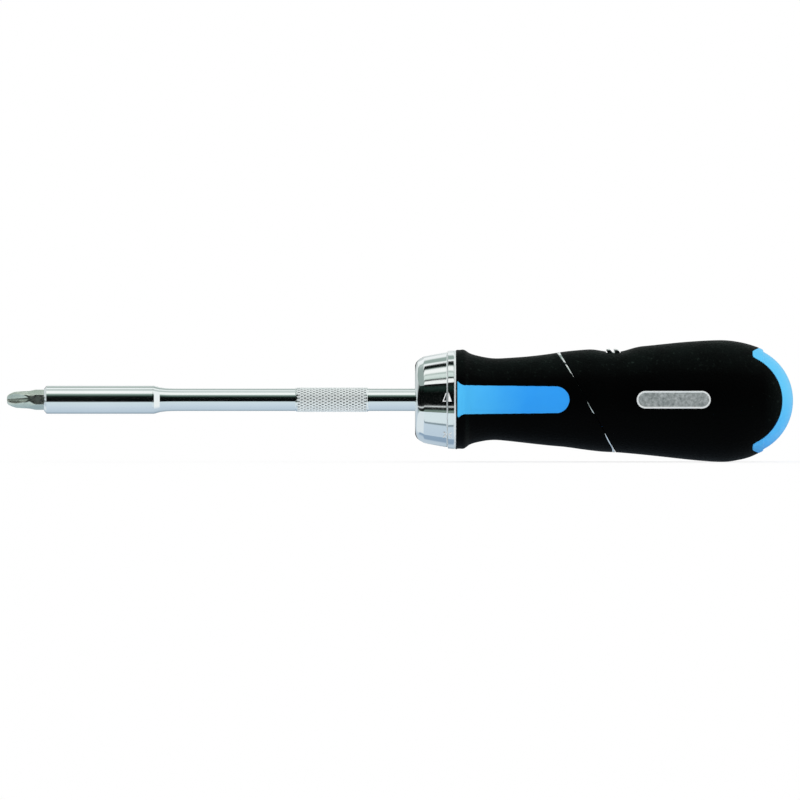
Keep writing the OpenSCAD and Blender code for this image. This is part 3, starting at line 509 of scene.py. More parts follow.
def swell(u):
    return 0.0 if abs(u) >= 1 else math.cos(math.pi / 2 * u) ** 2


def scoop(x, a):
    up = (math.degrees(a) - 90 + 180) % 360 - 180
    along = (x - GRIP_X) / HANDLE_LEN
    return SCOOP_DEPTH * swell((along - SCOOP_MID) / SCOOP_HALF) * swell(up / SCOOP_TURN)


def on_handle(x, a, inset=0.0):
    h = half_h(x)
    w = h * depth_at(x) - inset
    return (x, w * math.cos(a), mid_z(x) + (h - inset - scoop(x, a)) * math.sin(a))


def on_cap(x, a, inset=0.0):
    h = dome_at(x, CAP_R, CAP_MID) - inset
    return (x, h * depth_at(x) * math.cos(a), -CAP_DROP + h * math.sin(a))


# Seam frame: N runs back along the pivot, D runs down the seam
LEAN = math.radians(SEAM_ANGLE)
N = Vector((math.cos(LEAN), 0, math.sin(LEAN)))
D = Vector((math.sin(LEAN), 0, -math.cos(LEAN)))
SEAM = Vector((SEAM_X, 0, -SEAM_DROP))


def seam_x(a, inset, back):
    """x where the handle's surface meets the plane that lies back behind the seam."""
    x = SEAM_X
    for _ in range(14):
        x -= (N.dot(Vector(on_handle(x, a, inset)) - SEAM) - back) / N.x
    return x


def seat_edge(z):
    """x of the cap's edge at height z: a round seat, with a rounded tip above and below."""
    reach = abs(z + CAP_DROP)
    tip = CAP_TIP_X - CAP_TIP_SHORT + 1.9 * max((reach - 17.5) / 1.1, 0.0) ** 1.5
    seat = SEAT_MID + math.sqrt(max(SEAT_R ** 2 - reach ** 2, 0.0)) - CAP_SHORT
    gap = seat - tip
    return (seat + tip + math.sqrt(gap * gap + 0.8)) / 2


def seat_x(surface, a, inset, gap):
    """x where a surface meets the round seat of the cap, moved back by gap."""
    low, high = CAP_TIP_X - 1.0, HANDLE_END - 0.05

    def outside(x):
        return x >= seat_edge(surface(x, a, inset)[2]) + gap

    if outside(low):
        return low
    for _ in range(30):
        middle = (low + high) / 2
        low, high = (low, middle) if outside(middle) else (middle, high)
    return high


def window_in(x, z):
    """How far a place lies inside the outline of the window, in millimetres."""
    if x >= WINDOW_ROUND_X:
        return WINDOW_HALF - math.hypot(x - WINDOW_ROUND_X, z)
    wide = WINDOW_HALF * 1.08
    flare, flare_len = 1.6, 2.9
    flare_end = LIP_X + flare_len
    if x < flare_end:
        return wide + flare * ((flare_end - x) / flare_len) ** 2 - abs(z)
    return mix(wide, WINDOW_HALF, (x - flare_end) / (WINDOW_ROUND_X - flare_end)) - abs(z)


def half_window(x):
    if x <= WINDOW_ROUND_X:
        return window_in(x, 0.0)
    return math.sqrt(max(WINDOW_HALF ** 2 - (x - WINDOW_ROUND_X) ** 2, 0.0))


# Front grip: rubber with a rounded lip at the collar, sunk where the window is

def lip_rows(radius, steps):
    """(distance along, inset) of a rounded edge, from its end face to the outer skin."""
    rows = []
    for i in range(steps + 1):
        t = math.pi / 2 * i / steps
        rows.append((radius * (1 - math.cos(t)), radius * (1 - math.sin(t))))
    return rows


def front_grip():
    sides, body_rows, inner_rows = 440, 190, 8
    lip, edge = lip_rows(0.5, 6), lip_rows(SEAM_ROUND, 4)
    rings = [[] for _ in range(len(lip) + body_rows + len(edge) + inner_rows)]
    for k in range(sides):
        a = 2 * math.pi * k / sides
        end = seam_x(a, 0.0, -PLATE_T - SEAM_GAP + overlap(a))
        column = [(LIP_X - LIP_FORWARD + d, inset) for d, inset in lip]
        start = column[-1][0]
        last = end - edge[-1][0]
        column += [(mix(start, last, i / (body_rows + 1)), 0.0) for i in range(1, body_rows + 1)]
        column += [(end - d, inset) for d, inset in reversed(edge)]
        end_in = seam_x(a, RUBBER, -PLATE_T - SEAM_GAP)
        column += [(mix(end_in, GRIP_X, i / (inner_rows - 1)), RUBBER) for i in range(inner_rows)]
        for i, (x, inset) in enumerate(column):
            p = on_handle(x, a, inset)
            if inset < RUBBER:
                share = smooth(-0.12, 0.5, window_in(x, p[2])) * smooth(LIP_X - 0.06, LIP_X + 0.1, x)
                sunk = max(inset, min(inset + WINDOW_DEPTH * share, RUBBER - 0.05))
                p = on_handle(x, a, sunk)
            rings[i].append(p)
    bead_in = 16.8
    bead = lathe([
        (LIP_X - 0.42, bead_in), (LIP_X - 0.42, 17.6), (LIP_X - 0.34, 17.68), (LIP_X - 0.08, 17.68),
        (LIP_X + 0.02, 17.56), (LIP_X + 0.1, 17.46), (GRIP_X + 0.1, 17.45), (GRIP_X + 0.1, bead_in)], 360)
    shape = joined(skin(rings, loop=True), bead)
    make("front_rubber", shape, rubber, "front_handle", ["front_grip"], weld=0.001)


def inlay(side):
    """One blue panel, its edges tucked under the rubber. side is -1 for the side with the badge."""
    rows, cols = 110, 28
    low, thick, thick_at_lip, tuck = 0.15, RUBBER - 0.2, 0.36, 0.13
    front, back = LIP_X + 0.1, GRIP_X + WINDOW_LEN + 0.15
    stretch = (back - WINDOW_ROUND_X) / WINDOW_HALF

    def place(x, v, inset):
        past = x - WINDOW_ROUND_X
        z = v * (half_window(x if past < 0 else WINDOW_ROUND_X + past / stretch) + tuck)
        if x > back - TINY:
            z = 0.0
        a = arcsine((z - mid_z(x)) / (half_h(x) - inset))
        return (x, side * (half_h(x) * depth_at(x) - inset) * math.cos(a), z)

    across = [mix(-1, 1, j / cols) for j in range(cols + 1)]
    rings = []
    for i in range(rows + 1):
        x = mix(front, back, math.sin(math.pi / 2 * (i / rows)))
        under = thick if x > GRIP_X + 0.05 else thick_at_lip
        rings.append([place(x, v, low) for v in across] + [place(x, v, under) for v in reversed(across)])
    return skin(rings)


def inlays():
    make("window_panels", joined(inlay(-1), inlay(1)), blue, "front_handle", ["grip_inlays"])


# Seam plate: a bright plate whose rim follows the handle

def overlap(a):
    """How far the rubber closes over the bright plate: fully on parts of each side, least above and below."""
    low = math.degrees(math.asin(math.sin(a)))
    part = 0.5 * smooth(82, 40, low) * smooth(-89, -66, low)
    thin = 0.12 * smooth(12, 2, low) * smooth(-50, -42, low)
    upper = 0.37 * smooth(33, 29, low) * smooth(-3, 2, low)
    lower = 0.27 * smooth(-14, -18, low) * smooth(-43, -39, low)
    return part + thin + upper + lower


def seam_plate():
    sides, under, low = 360, 0.8, 0.3
    rings = [[] for _ in range(8)]
    for k in range(sides):
        a = 2 * math.pi * k / sides
        closed = overlap(a)
        sunk = low * smooth(0.7, 0.8, closed)
        edge = -PLATE_T + closed
        rows = [
            (-PLATE_T, under), (-PLATE_T, low), (min(edge - 0.06, -0.14), low),
            (min(edge + 0.02, -0.1), max(sunk, 0.02)), (min(edge + 0.06, -0.07), sunk),
            (-0.05, sunk), (0.0, sunk + 0.06), (0.0, under)]
        for ring, (back, inset) in zip(rings, rows):
            ring.append(on_handle(seam_x(a, inset, max(back, -PLATE_T)), a, inset))
    make("seam_band", skin(rings), chrome, "front_handle", ["seam_plate"])


# Rear grip

def button_pocket(p):
    """A place on the rubber, sunk along the button's travel where the button's opening is."""
    deep, clear, soft = 2.0, 0.2, 0.05
    s = (Vector(p) - SEAM).dot(N) - BUTTON_AT + BUTTON_SHIFT
    inside = min(BUTTON_LEN / 2 + clear - abs(s), BUTTON_W / 2 + clear - abs(p[1]))
    if inside < -clear or p[2] < 0:
        return p
    return tuple(Vector(p) + D * (deep * smooth(-clear, soft, inside)))


def rear_grip():
    sides, body_rows, inner_rows = 360, 260, 14
    edge = lip_rows(SEAM_ROUND, 4)
    rings = [[] for _ in range(2 * len(edge) + body_rows + inner_rows)]
    for k in range(sides):
        a = 2 * math.pi * k / sides
        start = seam_x(a, 0.0, RUN_PLATE)
        end = seat_x(on_handle, a, 0.0, 0.0)
        column = [(start + d, inset) for d, inset in edge]
        first, last = column[-1][0], end - edge[-1][0]
        for i in range(1, body_rows + 1):
            t = i / (body_rows + 1)
            column.append((mix(first, last, mix(t, math.sin(math.pi / 2 * t), 0.8)), 0.0))
        column += [(end - d, inset) for d, inset in reversed(edge)]
        end_in = min(seat_x(on_handle, a, RUBBER, 0.0), end)
        start_in = seam_x(a, RUBBER, RUN_PLATE)
        column += [(mix(end_in, start_in, i / (inner_rows - 1)), RUBBER) for i in range(inner_rows)]
        for i, (x, inset) in enumerate(column):
            p = on_handle(x, a, inset)
            r = math.hypot(p[1], p[2])
            if inset == RUBBER and r < CHAMBER_R:
                p = (x, p[1] * CHAMBER_R / r, p[2] * CHAMBER_R / r)
            rings[i].append(button_pocket(p) if inset < RUBBER else p)
    shape = skin(rings, loop=True)
    make("rear_rubber", shape, rubber, "rear_handle", ["rear_grip"], weld=0.001)


# Cap: a dome with a lip level with the rubber at its two tips, on a round seat

def end_cap():
    sides, rows, rim = 320, 120, 0.12
    skirt_rows, step_rows = 24, 5
    start = CAP_LIP_END + 0.25
    levels = [mix(CAP_TIP_X - 0.4, CAP_LIP_END, i / skirt_rows) for i in range(skirt_rows + 1)]
    levels += [mix(CAP_LIP_END, start, i / step_rows) for i in range(1, step_rows + 1)]
    t0 = math.asin((start - CAP_MID) / CAP_R)
    levels += [CAP_MID + CAP_R * math.sin(mix(t0, math.pi / 2, i / rows)) for i in range(1, rows + 1)]

    def surface(x, a, inset=0.0):
        w = smooth(CAP_LIP_END, start, x)
        if w >= 1:
            return on_cap(min(x, HANDLE_END - TINY), a, inset)
        return tuple(mix(p, q, w) for p, q in zip(on_handle(x, a, inset), on_cap(x, a, inset)))

    rings = [[] for _ in range(len(levels) + 1)]
    for k in range(sides):
        a = 2 * math.pi * (k + 0.5) / sides
        begin = seat_x(surface, a, 0.0, PASS_GAP)
        rings[0].append(surface(begin, a, rim))
        for ring, x in zip(rings[1:], levels):
            ring.append(surface(max(x, begin + rim * 0.7), a))
    points, faces = skin(rings, first=False)
    # The seat's own face joins each edge point to its mirror image across Y
    for k in range(sides // 4, 3 * sides // 4 - 1):
        faces.append([k, k + 1, (sides // 2 - 2 - k) % sides, (sides // 2 - 1 - k) % sides])
    spigot_end, spigot_bore = CAP_TIP_X + 8.5, 1.5
    spigot = lathe(rounded([
        (SPIGOT_X, spigot_bore, 0), (SPIGOT_X, RACK_R, 0.4),
        (spigot_end, RACK_R, 0), (spigot_end, spigot_bore, 0)]), 96)
    make("cap", joined((points, faces), spigot), cap_blue, "magazine", ["end_cap"])


# Selector ring and the collar behind it, with the same finger flats

RING_SIDES = 720
# Half the angle that a flat's crown turns through, in degrees, and how far from a corner it softens
CROWN, CORNER_SOFT = 11.6, 1.1
# Share by which the corners behind a flat follow the ring's curve
CORNER_SHARE = 0.15
# Bevel at the back of the ring: (distance from the end, inset)
BRIGHT_EDGE = [(0.5, 0.0), (0.43, 0.004), (0.39, 0.02), (0.05, 0.19), (0.0, 0.24)]
# Faces behind this get the whiter material: a painted highlight along the ring's back edge
PAINTED_HIGHLIGHT_FROM = RING_END - 0.4


def ring_curve(t):
    return RING_FACE_R + (RING_R - RING_FACE_R) * math.sqrt(max(0.0, 1 - (1 - t) ** 2))


def flat_r(away, corner_r):
    """Distance from the axis to a crowned flat, away degrees from its middle. Its corners lie on corner_r."""
    half = 180 / FLAT_COUNT
    w = half - abs(away)
    if w < CORNER_SOFT:
        w = CORNER_SOFT / 2 + w * w / (2 * CORNER_SOFT)
    f = math.radians(half - w)
    h, c = math.radians(half), math.radians(CROWN)
    q = corner_r * (math.sin(h) / math.tan(c) - math.cos(h))
    arc = corner_r * math.sin(h) / math.sin(c)
    return -q * math.cos(f) + math.sqrt(arc * arc - (q * math.sin(f)) ** 2)


def from_flat(angle):
    """Degrees from the middle of the nearest flat, which lies at the turn that part.scad gives."""
    pitch = 360 / FLAT_COUNT
    return (angle - pitch * FLAT_TURN + pitch / 2) % pitch - pitch / 2


def ring_at(x, r, corner_r=None):
    """A ring round the axis, cut by the finger flats where the radius of their corners is given."""
    if corner_r is None:
        return circle(x, r, RING_SIDES)
    return circle(x, lambda t: min(r, flat_r(from_flat(math.degrees(t) + 90), corner_r)), RING_SIDES)


def ring_section(t):
    """Radius of the ring and of its flats' corners, at a share of its length."""
    r = ring_curve(t)
    if t >= FLAT_FULL:
        straight = mix(ring_curve(FLAT_FULL), RING_R, (t - FLAT_FULL) / (1 - FLAT_FULL))
        return r, mix(straight, r, CORNER_SHARE)
    at_from = ring_curve(FLAT_FROM) / flat_r(0.0, 1.0)
    return r, mix(at_from, ring_curve(FLAT_FULL), (t - FLAT_FROM) / (FLAT_FULL - FLAT_FROM))


def selector_ring():
    bore, bore_bevel, face_r, inner_r, steps = 4.6, 0.15, 11.4, 13.4, 60
    inner_x = RING_X + RING_WALL
    rings = [
        ring_at(inner_x, bore), ring_at(RING_X + bore_bevel, bore), ring_at(RING_X, bore + 0.2),
        ring_at(RING_X, face_r)]
    for i in range(steps):
        t = 1 - math.cos(math.pi / 2 * i / steps)
        x = RING_X + RING_LEN * t
        if x < RING_END - BRIGHT_EDGE[0][0] - 0.05:
            rings.append(ring_at(x, *ring_section(t)))
    for d, inset in BRIGHT_EDGE:
        r, corner = ring_section(1 - d / RING_LEN)
        rings.append(ring_at(RING_END - d, r - inset, corner - inset))
    rings += [ring_at(RING_END, inner_r), ring_at(inner_x, inner_r)]
    shape = skin(rings, loop=True)
    piece = make("finger_ring", shape, chrome, "selector", ["selector_ring"], angle=28.0)
    paint_highlight(piece, satin_and_painted_highlight, lambda p: p.x > PAINTED_HIGHLIGHT_FROM)


def collar():
    """A bright sleeve over the collar of the housing, a little proud of it, that grows towards the grip."""
    front_r = COLLAR_R + SLEEVE_PROUD
    r = front_r + SLEEVE_FLARE
    inner_r, steps = 15.0, 5
    start, flats_end, end = RING_END + 0.07, LIP_X - 1.0, LIP_X - 0.15
    blend_from, blend_len = flats_end - 0.25, 0.45
    rings = [ring_at(start, inner_r)]
    for d, inset in lip_rows(0.1, 4):
        rings.append(ring_at(start + d, front_r - inset, front_r - inset))
    rings.append(ring_at(blend_from, r, r))
    for i in range(1, steps + 1):
        t = i / steps
        w = 0.5 - 0.5 * math.cos(math.pi * t)
        x = blend_from + blend_len * t
        rings.append([
            tuple(mix(p, q, w) for p, q in zip(a, b)) for a, b in zip(ring_at(x, r, r), ring_at(x, r))
        ])
    for d, inset in reversed(lip_rows(0.15, 4)):
        rings.append(ring_at(end - d, r - inset))
    rings.append(ring_at(end, inner_r))
    piece = make("collar_sleeve", skin(rings, loop=True), chrome, "front_handle", angle=28.0)
    # The sleeve's back edge gets the whiter material: a painted highlight
    paint_highlight(piece, satin_and_painted_highlight, lambda p: p.x > flats_end - 0.1)


# Marks: an arrow across the ring's seam, and a small cross lower down

def ring_surface(x, z, lift):
    """A point on the ring or the sleeve behind it, on the badge's side, at height z."""
    corner_r = RING_R
    if x >= RING_END:
        corner_r = COLLAR_R + SLEEVE_PROUD + SLEEVE_FLARE / 2 * (x - RING_END)
    near = RING_R
    for _ in range(6):
        near = flat_r(from_flat(270 - math.degrees(arcsine(z / near))), corner_r)
    a, r = arcsine(z / near), near + lift
    return (x, -r * math.cos(a), r * math.sin(a))


def stroke(outline):
    """A thin raised patch over an (x, z) outline of four corners, laid on the ring's curve."""
    n, lift, sink = 12, 0.035, -0.05
    m = n + 1
    a, b, c, d = [Vector(p) for p in outline]
    grid = [a.lerp(b, i / n).lerp(d.lerp(c, i / n), j / n) for i in range(m) for j in range(m)]
    points = [ring_surface(p.x, p.y, height) for height in (lift, sink) for p in grid]
    under = m * m
    faces = []
    for i in range(n):
        for j in range(n):
            q = [i * m + j, (i + 1) * m + j, (i + 1) * m + j + 1, i * m + j + 1]
            faces += [q, [under + k for k in reversed(q)]]
    rim = list(range(m)) + [i * m + n for i in range(1, m)]
    rim += [n * m + j for j in range(n - 1, -1, -1)] + [i * m for i in range(n - 1, 0, -1)]
    for i, p in enumerate(rim):
        q = rim[(i + 1) % len(rim)]
        faces.append([p, q, q + under, p + under])
    return points, faces


def line(p, q, width):
    p, q = Vector(p), Vector(q)
    s = (q - p).normalized()
    w = Vector((-s.y, s.x)) * width / 2
    return [p - w, q - w, q + w, p + w]


def marks():
    """An arrow whose head crosses from the ring to the sleeve, and a small cross lower down."""
    foot, thin = -0.55, 0.28
    ring_marks = joined(
        stroke(line((157.12, 2.35), (156.0, foot), 0.3)),
        stroke(line((155.9, foot + 0.05), (157.06, foot + 0.05), 0.32)),
        stroke(line((156.1, -13.5), (157.0, -12.4), thin)),
        stroke(line((156.2, -11.6), (157.0, -12.3), thin)),
    )
    make("ring_marks", ring_marks, mark_paint, "selector")
    collar_marks = joined(
        stroke([(157.9, 2.6), (158.0, 2.6), (159.15, foot - 0.1), (157.9, foot - 0.1)]),
        stroke(line((158.1, -12.3), (159.0, -13.4), thin)),
        stroke(line((158.1, -12.3), (159.1, -11.7), thin)),
    )
    make("collar_marks", collar_marks, mark_paint, "front_handle")


# Knurled band: raised diamonds whose corners are cut, so that the dark-painted core shows between them as
# dark dots: painted shade

def knurl():
    around, pitch, cut, band = 24, 2.15, 0.3, 0.8
    rows = int(2 * KNURL_LEN / pitch) - 1
    root_r, top_r, core_r, end = SHAFT_R + 0.18, SHAFT_R + 0.34, SHAFT_R - 0.3, KNURL_X + KNURL_LEN
    start = KNURL_X + (KNURL_LEN - (rows + 1) * pitch / 2) / 2 + pitch / 2
    corners = [(-0.5, 0.0), (0.0, -0.5), (0.5, 0.0), (0.0, 0.5)]
    outline = []
    for (ax, ay), (bx, by) in zip(corners, corners[1:] + corners[:1]):
        outline += [(mix(ax, bx, cut), mix(ay, by, cut)), (mix(bx, ax, cut), mix(by, ay, cut))]
    points, faces = [], []

    def at(x, turn, r):
        t = 2 * math.pi * turn / around
        points.append((x, r * math.cos(t), r * math.sin(t)))
        return len(points) - 1

    for i in range(rows):
        x = start + i * pitch / 2
        for j in range(around):
            c = j + (0.5 if i % 2 else 0.0)
            loops = []
            for size, r in ((1.0, root_r), (0.9, mix(root_r, top_r, 0.7)), (0.62, top_r)):
                loops.append([at(x + u * pitch * size, c + v * size, r) for u, v in outline])
            faces.append(loops[-1])
            for a, b in zip(loops, loops[1:]):
                for k in range(8):
                    m = (k + 1) % 8
                    faces.append([a[k], a[m], b[m], b[k]])
    # The diamonds get the whiter material: the knurled finish, its whiteness partly a painted highlight
    make("knurl_diamonds", (points, faces), satin_and_painted_highlight, "spindle", angle=60.0)
    between_r = root_r - 0.01
    roots = lathe([
        (KNURL_X + 0.3, core_r), (KNURL_X + 0.3, between_r), (end - 0.3, between_r), (end - 0.3, core_r)], 96)
    make("knurl_roots", roots, root_painted_shade, "spindle")
    bands = []
    for x, way in ((KNURL_X, 1), (end, -1)):
        bands.append(lathe([
            (x - way * 0.02, core_r), (x - way * 0.02, SHAFT_R + 0.02), (x + way * 0.35, root_r + 0.06),
            (x + way * band, root_r + 0.06), (x + way * band, core_r)], 96))
    make("knurl_ends", joined(*bands), chrome, "spindle")


# Bit: a cross-recess point with rounded grooves, and a neck down from the turned point to the hexagon

# Outline of the turned point: (distance from the tip, radius)
POINT = [
    (0.0, 0.9), (0.08, 1.3), (0.25, 1.62), (0.6, 2.0), (1.0, 2.28), (1.5, 2.56), (2.0, 2.8), (2.5, 3.0),
    (3.0, 3.13), (3.6, POINT_R)]


def point_radius(x):
    for (x0, r0), (x1, r1) in zip(POINT, POINT[1:]):
        if x < x1:
            return mix(r0, r1, (x - x0) / (x1 - x0))
    return POINT_R


def hex_radius(t):
    """A hexagon with one corner up, its corners slightly rounded."""
    away = (math.degrees(t) + 30) % 60 - 30
    return min(HEX_HALF / math.cos(math.radians(away)), HEX_CORNER - 0.06)


def groove_radius(x, t):
    """Distance from the axis to the nearest of the four grooves, along the direction t.

    floor is the depth that its bottom lies at, soft how round the bottom is, and lean the slope of its walls.
    """
    away = math.radians((math.degrees(t) - 180 + GROOVE_TURN + 45) % 90 - 45)
    floor = 0.78 + 0.2 * x + 0.00019 * x ** 4
    soft = mix(0.3, 1.0, min(x / 9, 1.0))
    root, lean = floor - soft, 0.966
    c, s = math.cos(away), math.sin(away) * lean
    a = c * c - s * s
    if a <= TINY:
        return 99.0
    b = -2 * c * root
    groove = (-b + math.sqrt(max(b * b - 4 * a * (root * root - soft * soft), 0.0))) / (2 * a)
    # Flat that widens behind the groove, up to the hexagon
    plane = mix(3.19, 2.9, smooth(1.6, 6.5, x)) + 0.2 * smooth(6.5, 8.4, x) + 0.9 * smooth(8.4, 9.2, x)
    return min(groove, plane / c)


def bit_radius(x, t):
    """Distance from the axis to the bit's surface at x, along the direction t."""
    neck_len, early, late = 3.5, 0.4, 0.5
    r = point_radius(x - TIP_X)
    if x > POINT_LEN - early:
        full = mix(POINT_R, HEX_CORNER, smooth(0.0, 1.0, (x - POINT_LEN) / neck_len))
        r = mix(r, min(full, hex_radius(t)), smooth(POINT_LEN - early, POINT_LEN + late, x))
    return min(r, groove_radius(x - TIP_X, t))


def bit():
    sides, bevel = 288, 0.6
    xs = [TIP_X + d for d in (0.0, 0.04, 0.08, 0.16, 0.25, 0.35, 0.48)] + [0.95 + 0.1 * i for i in range(106)]
    rings = [circle(x, lambda t: bit_radius(x, t), sides) for x in xs]
    for x, drop in ((BIT_LEN - bevel, 0.0), (BIT_LEN, bevel)):
        rings.append(circle(x, lambda t: min(hex_radius(t), HEX_CORNER - drop), sides))
    make("driver_bit", skin(rings), steel, "bit", ["screw_bit"], angle=24.0)


# Neck of the holder: an easy curve from the barrel down to the shaft, laid over its taper

def holder_neck():
    curve = [
        (-0.5, HOLDER_R + 0.004), (-0.1, HOLDER_R + 0.01), (0.15, 4.94), (0.5, 4.79), (0.9, 4.62),
        (1.35, 4.51), (1.9, 4.43), (2.6, 4.33), (3.4, 4.23), (4.4, 4.13), (5.6, 4.06),
        (7.0, SHAFT_R + 0.012), (7.8, SHAFT_R + 0.004)]
    curve = [Vector((HOLDER_END + d, r)) for d, r in curve]
    last, steps, inner_r = len(curve) - 1, 4, 3.8
    outline = [(curve[0].x, inner_r)]
    for i in range(last):
        p0, p1, p2, p3 = (curve[min(max(j, 0), last)] for j in range(i - 1, i + 3))
        for s in range(steps):
            t = s / steps
            bent = (2 * p0 - 5 * p1 + 4 * p2 - p3) * t * t + (3 * p1 - p0 - 3 * p2 + p3) * t ** 3
            outline.append(tuple(0.5 * (2 * p1 + (p2 - p0) * t + bent)))
    outline += [tuple(curve[-1]), (curve[-1].x, inner_r)]
    make("holder_neck", lathe(outline, 160), chrome, "spindle")


# Badge and button

def badge_place():
    half = BADGE_LEN / 2
    near = half_h(BADGE_X - half) * depth_at(BADGE_X - half)
    away = half_h(BADGE_X + half) * depth_at(BADGE_X + half)
    lean = -math.atan((away - near) / BADGE_LEN)
    along = Vector((math.cos(lean), math.sin(lean), 0))
    out = Vector((math.sin(lean), -math.cos(lean), 0))
    middle = Vector((BADGE_X, -(near + away) / 2, 0))
    return lambda u, v, w: tuple(middle + along * u + Vector((0, 0, v)) + out * w)


def badge():
    place = badge_place()
    reach = (BADGE_LEN - BADGE_H) / 2 - BADGE_SHORT
    arc = 40
    profile = [
        (0.0, -0.85), (0.0, 0.12), (0.05, 0.25), (0.16, 0.33), (0.28, 0.35), (0.38, 0.33), (0.46, 0.25),
        (0.52, 0.1), (0.62, 0.05), (0.8, 0.05)]
    rings = []
    for inset, height in profile:
        r = BADGE_H / 2 - BADGE_TRIM - inset
        ring = []
        for end, first in ((1, -90), (-1, 90)):
            for i in range(arc + 1):
                t = math.radians(first + 180 * i / arc)
                ring.append(place(end * reach + r * math.cos(t) - BADGE_FORWARD, r * math.sin(t), height))
        rings.append(ring)
    piece = make("badge", skin(rings), badge_metal, "rear_handle", ["badge_plate"], angle=50.0)
    panel, above = Vector(place(0, 0, 0.06)), Vector(place(0, 0, 1)) - Vector(place(0, 0, 0))
    # The raised rim gets the near-white material: a painted highlight
    paint_highlight(piece, badge_rim_polish_and_painted_highlight, lambda p: (p - panel).dot(above) > 0)


def button():
    """The ribbed button: a groove across its middle, ends that fall away, and rounded sides."""
    cols, rows, bottom = 48, 60, -7.6
    half_w, half_l = BUTTON_W / 2, BUTTON_LEN / 2
    corner, groove_half, flat_half = 0.4, 0.52, 1.15

    def place(s, y, down):
        """s runs along the tool from the button's middle, down is the drop below its top."""
        along = BUTTON_AT + s
        p = SEAM + D * ((-SEAM_DROP + N.z * along - (BUTTON_TOP - down)) / -D.z) + N * along
        return (p.x, y, p.z)

    rings = []
    for i in range(rows + 1):
        s = mix(-half_l, half_l, i / rows)
        groove = math.exp(-(s / groove_half) ** 6)
        rib = 0.4 * (max(abs(s) - flat_half, 0.0) / (half_l - flat_half)) ** 3
        ring = []
        for j in range(cols + 1):
            y = half_w * math.sin(math.pi / 2 * mix(-1, 1, j / cols))
            over = max(abs(y) - (half_w - corner), 0.0)
            crown = corner - math.sqrt(max(corner ** 2 - over ** 2, 0.0)) + 0.1 * (y / half_w) ** 2
            ring.append(place(s - BUTTON_SHIFT, y, crown + rib + groove))
        foot = SEAM + D * bottom + N * (BUTTON_AT + s - BUTTON_SHIFT)
        rings.append(ring + [(foot.x, half_w, foot.z), (foot.x, -half_w, foot.z)])
    make("thumb_button", skin(rings), chrome, "lock", ["lock_button"], angle=50.0)


front_grip()
inlays()
seam_plate()
rear_grip()
end_cap()
selector_ring()
collar()
marks()
knurl()
bit()
holder_neck()
badge()
button()


# Light: what bright metal mirrors. Each list gives tones by height above the horizon, in degrees: on the
# camera's side of the tool (FRONT), behind it (BACK), and for each of them the same further towards the
# bit's end, where the ring's flats look (SIDE).

FRONT = [
    (-90, (196, 211, 224)), (-60, (204, 218, 230)), (-24, (212, 226, 232)), (-20, (204, 218, 224)),
    (-15.5, (6, 9, 9)), (18, (6, 9, 8)), (26, (14, 24, 20)), (34, (62, 82, 75)), (51, (165, 184, 176)),
    (53, (250, 252, 250)), (78, (250, 252, 250)), (82, (196, 206, 203)), (90, (196, 206, 203)),
]
BACK = [
    (-90, (196, 211, 224)), (-62, (190, 205, 218)), (-40, (158, 176, 190)), (-18, (150, 166, 178)),
    (0, (222, 229, 231)), (20, (240, 244, 243)), (34, (222, 230, 228)), (44, (158, 172, 168)),
    (60, (164, 178, 173)), (66, (244, 248, 247)), (78, (246, 249, 248)), (82, (196, 206, 203)),
    (90, (196, 206, 203)),
]
FRONT_SIDE = [
    (-90, (192, 208, 222)), (-71, (196, 212, 224)), (-69.5, (128, 144, 152)), (-67.5, (128, 144, 152)),
    (-66, (218, 230, 234)), (-24, (216, 229, 234)), (-22.5, (40, 56, 50)), (-20.5, (36, 52, 46)),
    (-19.5, (140, 156, 148)), (-16.5, (112, 132, 122)), (-15, (6, 9, 9)), (-11, (4, 6, 6)),
    (-10.6, (214, 218, 218)), (-9.2, (214, 218, 218)), (-8.8, (4, 6, 6)), (12, (5, 8, 7)),
    (20, (28, 46, 40)), (24.5, (7, 11, 10)), (52.3, (8, 14, 12)),
    (54, (250, 252, 250)), (60.5, (250, 252, 250)), (61.5, (20, 34, 29)), (63.5, (34, 50, 44)),
    (65, (206, 220, 214)), (71, (220, 230, 226)), (74, (168, 184, 177)), (77, (250, 252, 250)),
    (84, (250, 252, 250)), (86, (140, 156, 150)), (87.5, (10, 20, 17)), (90, (10, 20, 17)),
]
BACK_SIDE = [
    (-90, (192, 208, 222)), (-66, (196, 212, 224)), (-61, (146, 168, 190)), (-44, (142, 164, 186)),
    (-38, (186, 202, 216)), (-17, (190, 204, 215)), (0, (212, 220, 224)), (10, (204, 211, 211)),
    (23, (206, 213, 213)), (28, (248, 250, 250)), (38, (244, 247, 247)), (44, (150, 166, 160)),
    (58, (154, 170, 164)), (64, (205, 214, 211)), (76, (212, 220, 217)), (80, (246, 249, 248)),
    (84.5, (248, 250, 250)), (86, (10, 20, 17)), (90, (10, 20, 17)),
]


class Sky(Tree):
    """The world's nodes."""

    def step(self, value, low, high):
        return self.span(value, low, high, kind="SMOOTHSTEP")

    def far(self, a, b):
        return self.math("SQRT", self.plus(self.times(a, a), self.times(b, b)))

    def share(self, a, b):
        return self.math("DIVIDE", a, self.math("MAXIMUM", b, TINY))

    def ramp(self, value, stops):
        node = self.add("ShaderNodeValToRGB")
        self.put(node.inputs[0], value)
        points = node.color_ramp.elements
        while len(points) > 1:
            points.remove(points[-1])
        points[0].position, points[0].color = 0.0, rgb(*stops[0][1])
        for degrees, colour in stops[1:]:
            points.new(degrees / 180 + 0.5).color = rgb(*colour)
        return node.outputs[0]


